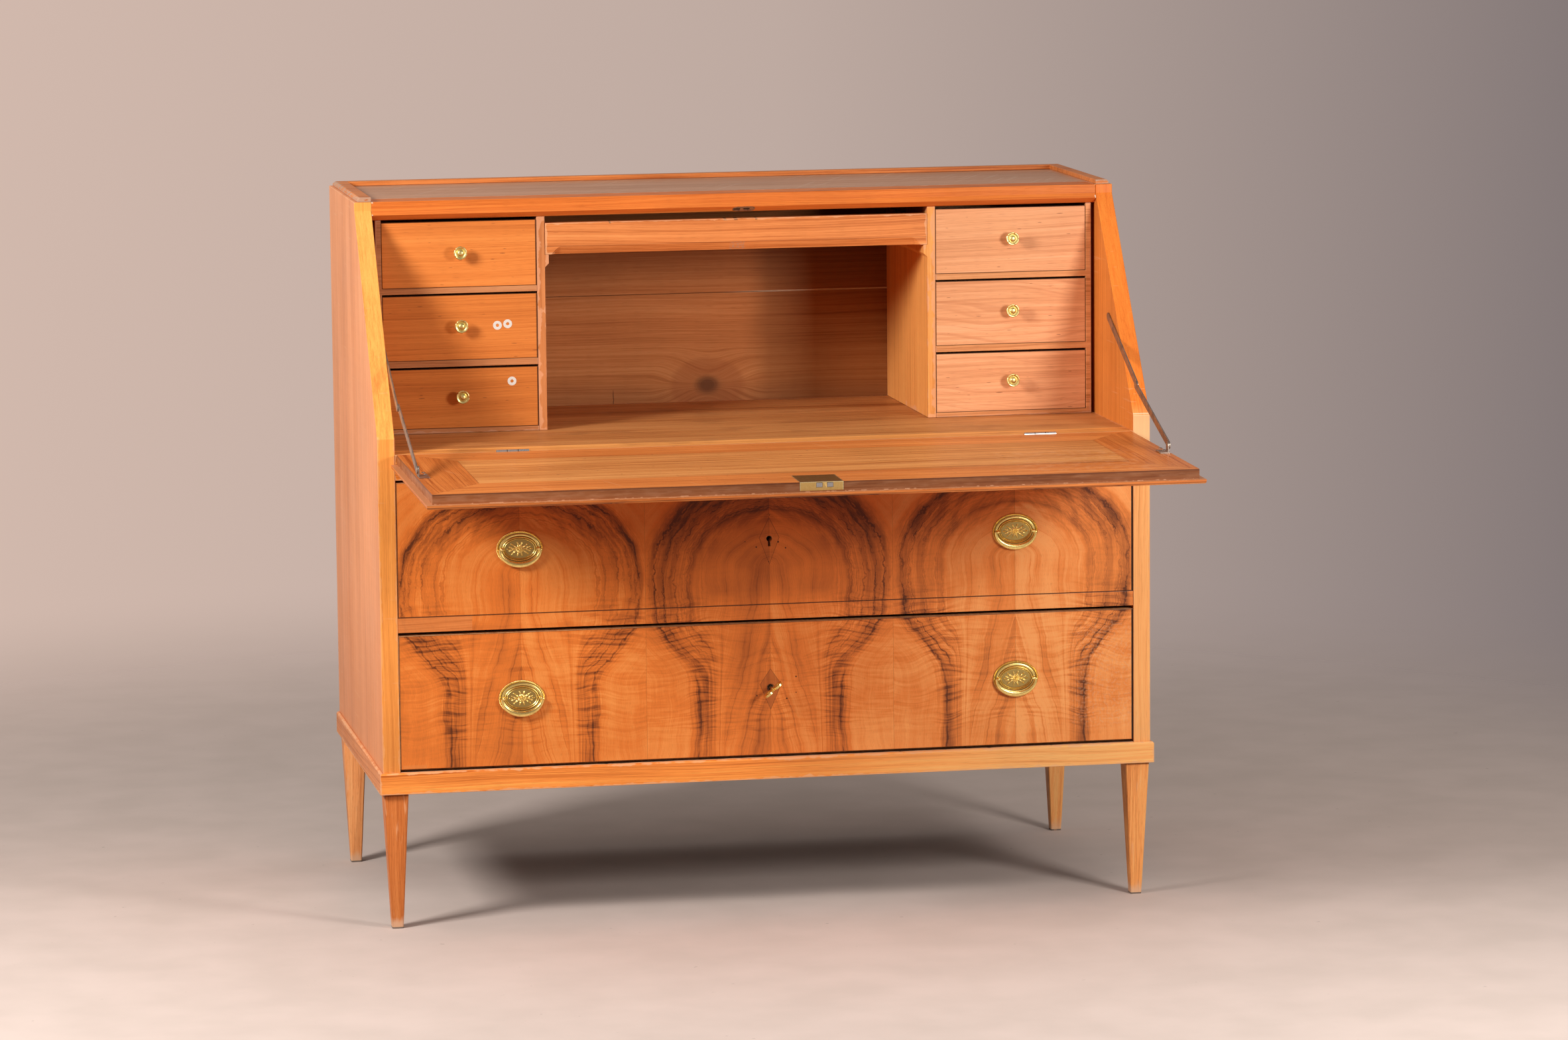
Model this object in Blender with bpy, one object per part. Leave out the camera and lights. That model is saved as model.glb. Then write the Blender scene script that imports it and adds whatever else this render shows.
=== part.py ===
"""Slant front secretaire on tapered legs, standing open. Metres, +Z up, front towards -Y."""

import math

import bmesh
import bpy
from mathutils import Matrix, Vector

# Sizes of the case
CASE_WIDTH = 1.220
CASE_DEPTH = 0.591
GABLE_THICK = 0.027
LOWER_CASE_HEIGHT = 0.5285
UPPER_CASE_HEIGHT = 0.369
SLOPE_TOP_DROP = 0.014
SLOPE_TOP_BACK = 0.245
TOP_BOARD_THICK = 0.020
BACK_BOARD_THICK = 0.016
UPPER_BACK_BOARD_HEIGHT = 0.190
SEAT_GAP = 0.0003
FRONT_SET_BACK = 0.0004
CUT_OVERRUN = 0.001

# Stand: legs, base moulding, bottom board
LEG_HEIGHT = 0.2135
LEG_TOP_SIDE = 0.038
LEG_FOOT_SIDE = 0.0175
LEG_INSET = 0.0065
LEG_EDGE_CHAMFER = 0.0015
BASE_HEIGHT = 0.0337
BASE_PROUD = 0.0052
BASE_CHAMFER = 0.0025
BOTTOM_BOARD_THICK = 0.0225

# Cap moulding round the top
CAP_HEIGHT = 0.0075
CAP_INSET = 0.005
CAP_CHAMFER = 0.004

# Top rail that the fall closes against
RAIL_STRIP_LENGTH = 0.0085
RAIL_DEPTH = 0.060

# Desk board and the rails round the large drawers
DESK_BOARD_THICK = 0.020
DESK_RAIL_HEIGHT = 0.020
DESK_RAIL_DEPTH = 0.060
MIDDLE_RAIL_HEIGHT = 0.0236
MIDDLE_RAIL_DEPTH = 0.070
DUST_BOARD_THICK = 0.010

# Large drawers
LARGE_SIDE_GAP = 0.0008
LARGE_FRONT_THICK = 0.020
LARGE_SIDE_THICK = 0.012
LARGE_BOTTOM_THICK = 0.008
LARGE_BOTTOM_LIFT = 0.008
LARGE_BACK_ROOM = 0.025
LARGE_SIDE_DROP = 0.025
UPPER_DRAWER_SHARE = 0.5012
UPPER_DRAWER_HEADROOM = 0.0039
LOWER_DRAWER_HEADROOM = 0.0052
LOWER_DRAWER_LIFT = 0.0043
KEYHOLE_UPPER_RISE = -0.0016
KEYHOLE_LOWER_RISE = 0.0018
KEYHOLE_RADIUS = 0.0045
KEYHOLE_SLOT_WIDTH = 0.0036
KEYHOLE_SLOT_LENGTH = 0.012

# Inside: partitions, drawer nests, small drawers, tray drawer
NEST_SET_BACK = 0.007
NEST_SIDE_GAP = 0.006
NEST_WIDTH = 0.2557
PARTITION_THICK = 0.013
LINING_THICK = 0.0091
BASE_STRIP_HEIGHT = 0.0081
DIVIDER_SPACES = (0.0136, 0.0128)
TOP_ROW_ROOM = 0.0049
ROW_HEIGHT_SHARES = (0.3139, 0.3412, 0.3449)
ROW_HEADROOM = 0.0029
SMALL_BACK_ROOM = 0.023
SMALL_FRONT_THICK = 0.009
SMALL_SIDE_THICK = 0.006
SMALL_BOTTOM_THICK = 0.004
SMALL_BOTTOM_LIFT = 0.003
SMALL_SIDE_DROP = 0.006
SMALL_CORNER_CHAMFER = 0.001
TRAY_HEIGHT = 0.0496
TRAY_HEADROOM = 0.0112
TRAY_CHAMFER_HEIGHT = 0.0122
TRAY_CHAMFER_DEPTH = 0.007
TRAY_STOP_INSET = 0.010
TRAY_STOP_LENGTH = 0.016
TRAY_SIDE_DROP = 0.012
RUNNER_WIDTH = 0.006
RUNNER_HEIGHT = 0.020

# Fall: a board with a lip on three edges
FALL_THICK = 0.015
LIP_THICK = 0.0065
LIP_OVERHANG = 0.009
LIP_ROUND = 0.0032
LIP_ROUND_STEPS = 3
FALL_SIDE_GAP = 0.003
FALL_TOP_GAP = 0.002
FALL_REST_GAP = 0.0004
FALL_BACK_GAP = 0.001
FALL_SAG_DEGREES = 1.0

# Knuckle hinges of the fall
HINGE_LEFT_INSET = 0.1825
HINGE_RIGHT_INSET = 0.150
HINGE_LENGTH = 0.051
KNUCKLE_RADIUS = 0.003
KNUCKLE_ROOM = 0.0008
KNUCKLE_GAP = 0.0003
LEAF_THICK = 0.0016
LEAF_DROP = 0.018
LEAF_NECK = 0.0042

# Lock of the fall
LOCK_CENTRE_X = 0.002
LOCK_WIDTH = 0.066
LOCK_DEPTH = 0.070
LOCK_HEIGHT = 0.0134
BOLT_CENTRE_X = 0.0066
BOLT_SPACING = 0.0163
BOLT_WIDTH = 0.009
BOLT_TOP_DROP = 0.0016
BOLT_HEIGHT = 0.0066
BOLT_LENGTH = 0.024
BOLT_PROUD = 0.0005
BOLT_BAR_DEPTH = 0.006
BOLT_TRAVEL = 0.008
STRIKE_DEPTH = 0.012
STRIKE_ROOM = 0.0015

# Folding stays
STAY_CASE_REACH = 0.2261
STAY_CASE_INSET = 0.0274
STAY_BRACKET_REACH = 0.240
STAY_BRACKET_LIFT = 0.011
STAY_SLACK = 0.0008
STAY_WIDTH = 0.012
STAY_THICK = 0.002
STAY_BOSS_RADIUS = 0.004
STAY_WALL_ROOM = 0.0005
BRACKET_FOOT_LENGTH = 0.030
BRACKET_FOOT_WIDTH = 0.016
BRACKET_FOOT_THICK = 0.0018

# Turned knobs
KNOB_RISE = 0.003
KNOB_RADIUS = 0.0108
KNOB_HEIGHT = 0.018
KNOB_SEGMENTS = 16
KNOB_RADIUS_SHARES = (0.62, 0.62, 0.42, 0.33, 0.35, 0.62, 0.93, 1.0, 0.90, 0.50)
KNOB_HEIGHT_SHARES = (0.015, 0.08, 0.12, 0.26, 0.48, 0.64, 0.76, 0.86, 0.94, 0.985)

# Stamped handles
HANDLE_INSET = 0.191
HANDLE_UPPER_RISE = -0.0034
HANDLE_LOWER_RISE = 0.0008
PLATE_HALF_WIDTH = 0.0362
PLATE_HALF_HEIGHT = 0.0280
PLATE_LIFT = 0.004
PLATE_SEGMENTS = 28
PLATE_SIZE_SHARES = (1.0, 1.0, 0.955, 0.90, 0.84, 0.72, 0.66, 0.60, 0.36, 0.16)
PLATE_LIFT_SHARES = (0.0, 0.40, 0.60, 0.42, 0.30, 0.85, 0.85, 0.62, 0.78, 1.0)
BAIL_PIVOT_X = 0.0285
BAIL_PIVOT_OUT = 0.0062
BAIL_DROP = 0.0245
BAIL_OUT_SHARE = 1.12
BAIL_SECTION_WIDTH = 0.0085
BAIL_END_SHARE = 0.62
BAIL_SECTION_THICK = 0.0040
BAIL_STEPS = 20
BAIL_SIDES = 8
EAR_RADIUS = 0.0022
EAR_LENGTH = 0.0026
BAIL_STUB_LENGTH = 0.003

# Key and the lower drawer's lock
KEY_SHAFT_RADIUS = 0.0026
KEY_OUT = 0.023
KEY_IN = 0.032
KEY_BIT_WIDTH = 0.0022
KEY_BIT_REACH = 0.0075
KEY_BIT_LENGTH = 0.005
KEY_LOBE_RADIUS = 0.0088
KEY_LOBE_OFFSET = 0.0094
KEY_LOBE_HOLE = 0.0040
KEY_BOW_THICK = 0.0034
KEY_TILT_DEGREES = 41.0
KEY_ROOM = 0.0006
DRAWER_LOCK_WIDTH = 0.060
DRAWER_LOCK_HEIGHT = 0.040
DRAWER_LOCK_THICK = 0.014
DRAWER_LOCK_CHAMBER = 0.0088
DRAWER_LOCK_WALL = 0.003

ARC_STEPS = 8
ROD_SIDES = 24
SMALL_ROD_SIDES = 16
SMOOTH_DEGREES = 35
TRAY_STOP_SHARES = (1.0, 0.98, 0.92, 0.83, 0.71, 0.56, 0.38, 0.20, 0.03)

# What follows from the sizes above
HALF = CASE_WIDTH / 2
INNER = HALF - GABLE_THICK
SAG = math.radians(FALL_SAG_DEGREES)
BOARD_X = INNER - SEAT_GAP
BACK_INNER = CASE_DEPTH - BACK_BOARD_THICK
BOTTOM_BOARD_TOP_Z = LEG_HEIGHT + BASE_HEIGHT + SEAT_GAP
DESK_Z = LEG_HEIGHT + LOWER_CASE_HEIGHT
CASE_TOP_Z = DESK_Z + UPPER_CASE_HEIGHT
SLOPE_TOP_Z = CASE_TOP_Z - SLOPE_TOP_DROP
BACK_JOINT_Z = CASE_TOP_Z - UPPER_BACK_BOARD_HEIGHT
STRIP_DEPTH = FALL_THICK - FALL_REST_GAP
SLOPE = math.atan2(SLOPE_TOP_BACK, SLOPE_TOP_Z - DESK_Z) + math.asin(
    STRIP_DEPTH / math.hypot(SLOPE_TOP_BACK, SLOPE_TOP_Z - DESK_Z)
)
SLOPE_START_Z = DESK_Z + STRIP_DEPTH / math.sin(SLOPE)
FALL_FACE = (
    SLOPE_TOP_BACK * math.sin(SLOPE)
    + (SLOPE_TOP_Z - DESK_Z) * math.cos(SLOPE)
    - RAIL_STRIP_LENGTH
)
FALL_LENGTH = FALL_FACE - FALL_TOP_GAP
FALL_REACH = (FALL_LENGTH + LIP_OVERHANG) * math.cos(SAG) - FALL_THICK * math.sin(SAG)
FRONT_Y = (FALL_REACH - CASE_DEPTH) / 2
FALL_X = INNER - FALL_SIDE_GAP
HINGE_LEFT_X = HINGE_LEFT_INSET - INNER
HINGE_RIGHT_X = INNER - HINGE_RIGHT_INSET
UPPER_DRAWER_TOP_Z = DESK_Z - DESK_BOARD_THICK - DESK_RAIL_HEIGHT - UPPER_DRAWER_HEADROOM
LOWER_DRAWER_BOTTOM_Z = BOTTOM_BOARD_TOP_Z + LOWER_DRAWER_LIFT
BETWEEN_DRAWERS = SEAT_GAP + MIDDLE_RAIL_HEIGHT + LOWER_DRAWER_HEADROOM
LARGE_HEIGHTS = UPPER_DRAWER_TOP_Z - LOWER_DRAWER_BOTTOM_Z - BETWEEN_DRAWERS
UPPER_DRAWER_BOTTOM_Z = UPPER_DRAWER_TOP_Z - LARGE_HEIGHTS * UPPER_DRAWER_SHARE
MIDDLE_RAIL_TOP_Z = UPPER_DRAWER_BOTTOM_Z - SEAT_GAP
LOWER_DRAWER_TOP_Z = UPPER_DRAWER_BOTTOM_Z - BETWEEN_DRAWERS
UPPER_MIDDLE_Z = (UPPER_DRAWER_BOTTOM_Z + UPPER_DRAWER_TOP_Z) / 2
LOWER_MIDDLE_Z = (LOWER_DRAWER_BOTTOM_Z + LOWER_DRAWER_TOP_Z) / 2
KEYHOLE_UPPER_Z = UPPER_MIDDLE_Z + KEYHOLE_UPPER_RISE
KEYHOLE_LOWER_Z = LOWER_MIDDLE_Z + KEYHOLE_LOWER_RISE
HANDLE_X = INNER - HANDLE_INSET
HANDLE_UPPER_Z = UPPER_MIDDLE_Z + HANDLE_UPPER_RISE
HANDLE_LOWER_Z = LOWER_MIDDLE_Z + HANDLE_LOWER_RISE
LARGE_DEPTH = BACK_INNER - LARGE_BACK_ROOM
INNER_FRONT_BACK = SLOPE_TOP_BACK + NEST_SET_BACK
SMALL_DEPTH = BACK_INNER - INNER_FRONT_BACK - SMALL_BACK_ROOM
NEST_OUTER_X = INNER - NEST_SIDE_GAP
LINING_INNER_X = NEST_OUTER_X - LINING_THICK
PARTITION_OUTER_X = NEST_OUTER_X - NEST_WIDTH
PARTITION_INNER_X = PARTITION_OUTER_X - PARTITION_THICK
KNOB_X = (PARTITION_OUTER_X + LINING_INNER_X) / 2
RAIL_BOTTOM_Z = DESK_Z + FALL_FACE * math.cos(SLOPE) + SEAT_GAP * math.sin(SLOPE)
TRAY_TOP_Z = RAIL_BOTTOM_Z - TRAY_HEADROOM
TRAY_BOTTOM_Z = TRAY_TOP_Z - TRAY_HEIGHT
ROW_ROOMS = (*DIVIDER_SPACES, TOP_ROW_ROOM)
ROWS_HEIGHT = RAIL_BOTTOM_Z - DESK_Z - BASE_STRIP_HEIGHT - sum(ROW_ROOMS)
ROW_HEIGHTS = [ROWS_HEIGHT * share for share in ROW_HEIGHT_SHARES]
ROW_BOTTOMS_Z = [
    DESK_Z + BASE_STRIP_HEIGHT + sum(ROW_HEIGHTS[:row]) + sum(ROW_ROOMS[:row])
    for row in range(len(ROW_ROOMS))
]
ROW_TOPS_Z = [low + height for low, height in zip(ROW_BOTTOMS_Z, ROW_HEIGHTS)]
ARM_X = INNER - STAY_WALL_ROOM - STAY_THICK
LOWER_ARM_X = ARM_X - SEAT_GAP - STAY_THICK
EAR_X = LOWER_ARM_X - SEAT_GAP - STAY_THICK


def clear_scene():
    for old in list(bpy.data.objects):
        bpy.data.objects.remove(old, do_unlink=True)


def finish(name, colour, roughness, metallic=0.0):
    """A plain material in the piece's colour."""
    material = bpy.data.materials.new(name)
    material.use_nodes = True
    shader = material.node_tree.nodes["Principled BSDF"]
    shader.inputs["Base Color"].default_value = (*colour, 1.0)
    shader.inputs["Roughness"].default_value = roughness
    shader.inputs["Metallic"].default_value = metallic
    return material


def make_empty(name, place, turn=0.0):
    """A carrier at a joint, turned about X."""
    carrier = bpy.data.objects.new(name, None)
    bpy.context.scene.collection.objects.link(carrier)
    carrier.location = place
    carrier.rotation_euler = (turn, 0.0, 0.0)
    return carrier


def solid(name, shape, material, origin=(0, 0, 0), parent=None, smooth=False):
    """An object whose mesh is the bmesh, given in its parent's frame, with its origin moved to one place."""
    bmesh.ops.recalc_face_normals(shape, faces=shape.faces)
    bmesh.ops.translate(shape, verts=shape.verts, vec=-Vector(origin))
    mesh = bpy.data.meshes.new(name)
    shape.to_mesh(mesh)
    shape.free()
    if smooth:
        mesh.shade_smooth()
        mesh.set_sharp_from_angle(angle=math.radians(SMOOTH_DEGREES))
    mesh.materials.append(material)
    return place_mesh(name, mesh, origin, parent)


def place_mesh(name, mesh, origin, parent=None, turn=(0, 0, 0)):
    thing = bpy.data.objects.new(name, mesh)
    bpy.context.scene.collection.objects.link(thing)
    thing.location = origin
    thing.rotation_euler = turn
    thing.parent = parent
    return thing


def combine(target, tool, operation):
    """Cuts or joins one solid with a hidden helper that stays on the target's own carrier."""
    tool.parent = target.parent
    tool.hide_render = True
    tool.display_type = "WIRE"
    change = target.modifiers.new(tool.name, "BOOLEAN")
    change.operation = operation
    change.solver = "EXACT"
    change.object = tool


def cut(target, shape, name):
    tool = solid(name, shape, target.data.materials[0])
    combine(target, tool, "DIFFERENCE")


def weld(target, shape, name):
    tool = solid(name, shape, target.data.materials[0])
    combine(target, tool, "UNION")


def loft(rings):
    """One closed body through rings of points that match each other, capped at both ends."""
    shape = bmesh.new()
    rows = [[shape.verts.new(point) for point in ring] for ring in rings]
    count = len(rows[0])
    for row, after in zip(rows, rows[1:]):
        for i in range(count):
            j = (i + 1) % count
            shape.faces.new((row[i], row[j], after[j], after[i]))
    shape.faces.new(list(reversed(rows[0])))
    shape.faces.new(rows[-1])
    return shape


def across(outline, low, high):
    """A body drawn as (y, z) points and run along X."""
    return loft([[(x, y, z) for y, z in outline] for x in (low, high)])


def along_y(outline, low, high):
    """A body drawn as (x, z) points and run along Y."""
    return loft([[(x, y, z) for x, z in outline] for y in (low, high)])


def block(x, y, z):
    """A box between pairs of limits."""
    return across([(y[0], z[0]), (y[1], z[0]), (y[1], z[1]), (y[0], z[1])], x[0], x[1])


def arc(centre, radius, start, end, steps=ARC_STEPS):
    """Points on an arc, in degrees."""
    turns = [math.radians(start + (end - start) * i / steps) for i in range(steps + 1)]
    return [(centre[0] + radius * math.cos(t), centre[1] + radius * math.sin(t)) for t in turns]


def rod(radius, low, high, axis, centre=(0, 0), sides=ROD_SIDES):
    """A round bar along an axis. The centre gives its other two coordinates in order."""
    circle = arc(centre, radius, 0, 360 - 360 / sides, sides - 1)
    if axis == "X":
        return loft([[(t, a, b) for a, b in circle] for t in (low, high)])
    return loft([[(a, t, b) for a, b in circle] for t in (low, high)])


def in_case(back, z):
    """A (y, z) point from how far it lies behind the case's front."""
    return (FRONT_Y + back, z)


def closed_point(x, reach, lift):
    """Where a point of the fall lies when the fall is closed."""
    y = FRONT_Y + reach * math.sin(SLOPE) + lift * math.cos(SLOPE)
    z = DESK_Z + reach * math.cos(SLOPE) - lift * math.sin(SLOPE)
    return (x, y, z)


def make_gables(wood):
    outline = [
        in_case(0, LEG_HEIGHT),
        in_case(0, SLOPE_START_Z),
        in_case(SLOPE_TOP_BACK, SLOPE_TOP_Z),
        in_case(SLOPE_TOP_BACK, CASE_TOP_Z),
        in_case(CASE_DEPTH, CASE_TOP_Z),
        in_case(CASE_DEPTH, LEG_HEIGHT),
    ]
    solid("gable_left", across(outline, -HALF, -INNER), wood)
    solid("gable_right", across(outline, INNER, HALF), wood)


def make_boards(wood):
    """Top, bottom, desk and back boards between the gables."""
    width = (-BOARD_X, BOARD_X)
    back = FRONT_Y + BACK_INNER - SEAT_GAP
    rail_back = FRONT_Y + SLOPE_TOP_BACK + RAIL_DEPTH
    top = block(width, (rail_back + SEAT_GAP, back), (CASE_TOP_Z - TOP_BOARD_THICK, CASE_TOP_Z))
    solid("top_board", top, wood)
    front = FRONT_Y + FRONT_SET_BACK
    bottom_z = (BOTTOM_BOARD_TOP_Z - BOTTOM_BOARD_THICK, BOTTOM_BOARD_TOP_Z)
    solid("bottom_board", block(width, (front, back), bottom_z), wood)
    desk = block(width, (front, back), (DESK_Z - DESK_BOARD_THICK, DESK_Z))
    board = solid("desk_board", desk, wood)
    for side, x in (("left", HINGE_LEFT_X), ("right", HINGE_RIGHT_X)):
        half = HINGE_LENGTH / 2 + KNUCKLE_GAP
        limits = (x - half, x + half)
        room = rod(KNUCKLE_RADIUS + KNUCKLE_ROOM, limits[0], limits[1], "X", (FRONT_Y, DESK_Z))
        cut(board, room, f"knuckle_room_{side}")
        depth = FRONT_SET_BACK + LEAF_THICK + SEAT_GAP
        housing_y = (FRONT_Y - CUT_OVERRUN, FRONT_Y + depth)
        housing_z = (DESK_Z - LEAF_DROP - SEAT_GAP, DESK_Z + CUT_OVERRUN)
        cut(board, block(limits, housing_y, housing_z), f"leaf_room_{side}")
    y = (FRONT_Y + BACK_INNER, FRONT_Y + CASE_DEPTH)
    solid("back_board_lower", block(width, y, (LEG_HEIGHT, BACK_JOINT_Z - SEAT_GAP)), wood)
    solid("back_board_upper", block(width, y, (BACK_JOINT_Z, CASE_TOP_Z)), wood)


def make_cap(wood):
    """The low moulding on the top, swept round its left, back and right edges."""
    outer = HALF - CAP_INSET
    back = CASE_DEPTH - CAP_INSET
    width = outer - INNER
    low = CASE_TOP_Z + SEAT_GAP
    high = CASE_TOP_Z + CAP_HEIGHT
    profile = [
        (0, low),
        (width, low),
        (width, high - CAP_CHAMFER),
        (width - CAP_CHAMFER, high),
        (0, high),
    ]
    rings = []
    for side, y_of in ((-1, 0), (-1, 1), (1, 1), (1, 0)):
        ring = []
        for out, z in profile:
            y = back - width + out if y_of else SLOPE_TOP_BACK
            ring.append((side * (INNER + out), FRONT_Y + y, z))
        rings.append(ring)
    solid("cap_moulding", loft(rings), wood)


def make_base(wood):
    """The applied moulding under the case, mitred at its two front corners."""
    low = LEG_HEIGHT
    high = LEG_HEIGHT + BASE_HEIGHT
    profile = [
        (SEAT_GAP, low),
        (BASE_PROUD, low),
        (BASE_PROUD, high - BASE_CHAMFER),
        (BASE_PROUD - BASE_CHAMFER, high),
        (SEAT_GAP, high),
    ]
    ends = [[(side * (HALF + out), FRONT_Y - out, z) for out, z in profile] for side in (-1, 1)]
    solid("base_moulding_front", loft(ends), wood)
    for name, side in (("left", -1), ("right", 1)):
        front = [(side * (HALF + out), FRONT_Y - out + SEAT_GAP, z) for out, z in profile]
        rear = [(side * (HALF + out), FRONT_Y + CASE_DEPTH, z) for out, z in profile]
        solid(f"base_moulding_{name}", loft([front, rear]), wood)


def leg_ring(side, z):
    """A square with small chamfered corners."""
    half = side / 2
    flat = half - LEG_EDGE_CHAMFER
    corners = [(half, flat), (flat, half), (-flat, half), (-half, flat)]
    corners += [(-x, -y) for x, y in corners]
    return [(x, y, z) for x, y in corners]


def make_legs(wood):
    top = LEG_HEIGHT - SEAT_GAP
    shape = loft([leg_ring(LEG_FOOT_SIDE, 0), leg_ring(LEG_TOP_SIDE, top)])
    inset = LEG_INSET - BASE_PROUD + LEG_TOP_SIDE / 2
    x = HALF - inset
    front = FRONT_Y + inset
    rear = FRONT_Y + CASE_DEPTH - inset
    first = solid("leg_front_left", shape, wood)
    first.location = (-x, front, 0)
    for name, place in (
        ("leg_front_right", (x, front, 0)),
        ("leg_back_left", (-x, rear, 0)),
        ("leg_back_right", (x, rear, 0)),
    ):
        place_mesh(name, first.data, place)


def make_top_rail(wood):
    """Rail with the sloping rebate that takes the closed fall's lip and upper edge."""
    strip_end = closed_point(0, FALL_FACE, -STRIP_DEPTH)
    face_end = closed_point(0, FALL_FACE, -SEAT_GAP)
    outline = [
        in_case(SLOPE_TOP_BACK, CASE_TOP_Z),
        in_case(SLOPE_TOP_BACK, SLOPE_TOP_Z),
        (strip_end[1], strip_end[2]),
        (face_end[1], face_end[2]),
        in_case(SLOPE_TOP_BACK + RAIL_DEPTH, face_end[2]),
        in_case(SLOPE_TOP_BACK + RAIL_DEPTH, CASE_TOP_Z),
    ]
    rail = solid("top_rail", across(outline, -BOARD_X, BOARD_X), wood)
    x0, x1 = bolt_limits(STRIKE_ROOM)
    low = -BOLT_TOP_DROP - BOLT_HEIGHT - STRIKE_ROOM
    high = -BOLT_TOP_DROP + STRIKE_ROOM / 2
    rings = []
    for x in (x0, x1):
        corners = (
            (FALL_FACE - CUT_OVERRUN, low),
            (FALL_FACE + STRIKE_DEPTH, low),
            (FALL_FACE + STRIKE_DEPTH, high),
            (FALL_FACE - CUT_OVERRUN, high),
        )
        rings.append([closed_point(x, reach, lift) for reach, lift in corners])
    cut(rail, loft(rings), "strike_mortice")


def make_drawer_rails(wood):
    """The rail under the desk board, and the rail with its dust board between the large drawers."""
    front = FRONT_Y + FRONT_SET_BACK
    top = DESK_Z - DESK_BOARD_THICK - SEAT_GAP
    low = DESK_Z - DESK_BOARD_THICK - DESK_RAIL_HEIGHT
    rail = block((-BOARD_X, BOARD_X), (front, FRONT_Y + DESK_RAIL_DEPTH), (low, top))
    solid("desk_rail", rail, wood)
    foot = MIDDLE_RAIL_TOP_Z - MIDDLE_RAIL_HEIGHT
    dust = MIDDLE_RAIL_TOP_Z - DUST_BOARD_THICK
    back = FRONT_Y + BACK_INNER - SEAT_GAP
    outline = [
        (front, foot),
        (front, MIDDLE_RAIL_TOP_Z),
        (back, MIDDLE_RAIL_TOP_Z),
        (back, dust),
        (FRONT_Y + MIDDLE_RAIL_DEPTH, dust),
        (FRONT_Y + MIDDLE_RAIL_DEPTH, foot),
    ]
    solid("middle_rail", across(outline, -BOARD_X, BOARD_X), wood)


def mirrored(outline, side):
    return [(side * x, z) for x, z in outline]


def make_partitions(wood):
    """Uprights beside the middle compartment, each with the tray drawer's runner."""
    low = DESK_Z + SEAT_GAP
    high = RAIL_BOTTOM_Z - SEAT_GAP
    runner_top = TRAY_BOTTOM_Z - SEAT_GAP
    outline = [
        (PARTITION_OUTER_X, low),
        (PARTITION_OUTER_X, high),
        (PARTITION_INNER_X, high),
        (PARTITION_INNER_X, runner_top),
        (PARTITION_INNER_X - RUNNER_WIDTH, runner_top),
        (PARTITION_INNER_X - RUNNER_WIDTH, runner_top - RUNNER_HEIGHT + RUNNER_WIDTH),
        (PARTITION_INNER_X, runner_top - RUNNER_HEIGHT),
        (PARTITION_INNER_X, low),
    ]
    y = (FRONT_Y + INNER_FRONT_BACK, FRONT_Y + BACK_INNER - SEAT_GAP)
    for name, side in (("left", -1), ("right", 1)):
        solid(f"partition_{name}", along_y(mirrored(outline, side), y[0], y[1]), wood)


def make_nests(wood):
    """Lining board with the base strip and the two dividers that the small drawers run on."""
    teeth_x = PARTITION_OUTER_X + SEAT_GAP
    lows = (DESK_Z + SEAT_GAP, ROW_TOPS_Z[0] + ROW_HEADROOM, ROW_TOPS_Z[1] + ROW_HEADROOM)
    outline = [(NEST_OUTER_X, lows[0])]
    for low, row in zip(lows, ROW_BOTTOMS_Z):
        shelf = row - SEAT_GAP
        if low != lows[0]:
            outline.append((LINING_INNER_X, low))
        outline.append((teeth_x, low))
        outline.append((teeth_x, shelf))
        outline.append((LINING_INNER_X, shelf))
    high = RAIL_BOTTOM_Z - SEAT_GAP
    outline.append((LINING_INNER_X, high))
    outline.append((NEST_OUTER_X, high))
    y = (FRONT_Y + INNER_FRONT_BACK, FRONT_Y + BACK_INNER - SEAT_GAP)
    for name, side in (("left", -1), ("right", 1)):
        solid(f"drawer_nest_{name}", along_y(mirrored(outline, side), y[0], y[1]), wood)


def drawer_body(name, x, z, front, depth, walls, floor, drop, wood):
    """An open box: a front board, lower sides and back, and a bottom set up between them."""
    front_thick, side_thick = walls
    floor_thick, floor_lift, body_low = floor
    origin = ((x[0] + x[1]) / 2, front, z[0])
    body = solid(name, block(x, (front, front + front_thick), z), wood, origin)
    tub_y = (front + front_thick / 2, front + depth)
    weld_tool = block(x, tub_y, (body_low, z[1] - drop))
    weld(body, weld_tool, f"{name}_tub")
    inside_x = (x[0] + side_thick, x[1] - side_thick)
    inside_y = (front + front_thick, front + depth - side_thick)
    floor_top = body_low + floor_lift + floor_thick
    cut(body, block(inside_x, inside_y, (floor_top, z[1] + CUT_OVERRUN)), f"{name}_inside")
    under = (body_low - CUT_OVERRUN, body_low + floor_lift)
    cut(body, block(inside_x, inside_y, under), f"{name}_under")
    return body


def make_small_drawers(wood, brass):
    """Three drawers in each nest, each with its turned knob."""
    front = FRONT_Y + INNER_FRONT_BACK
    knob = None
    for side_name, side in (("left", -1), ("right", 1)):
        edges = sorted(
            (
                side * (PARTITION_OUTER_X + 2 * SEAT_GAP),
                side * (LINING_INNER_X - SEAT_GAP),
            )
        )
        for row, (low, high) in enumerate(zip(ROW_BOTTOMS_Z, ROW_TOPS_Z), start=1):
            name = f"small_drawer_{side_name}_{row}"
            drawer = drawer_body(
                name,
                edges,
                (low, high),
                front,
                SMALL_DEPTH,
                (SMALL_FRONT_THICK, SMALL_SIDE_THICK),
                (SMALL_BOTTOM_THICK, SMALL_BOTTOM_LIFT, low),
                SMALL_SIDE_DROP,
                wood,
            )
            rise = (high - low) / 2 + KNOB_RISE
            place = (side * KNOB_X - drawer.location.x, 0, rise)
            knob_name = f"knob_{side_name}_{row}"
            if knob is None:
                knob = solid(knob_name, knob_shape(), brass, smooth=True)
                knob.parent = drawer
                knob.location = place
            else:
                place_mesh(knob_name, knob.data, place, drawer)


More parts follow.
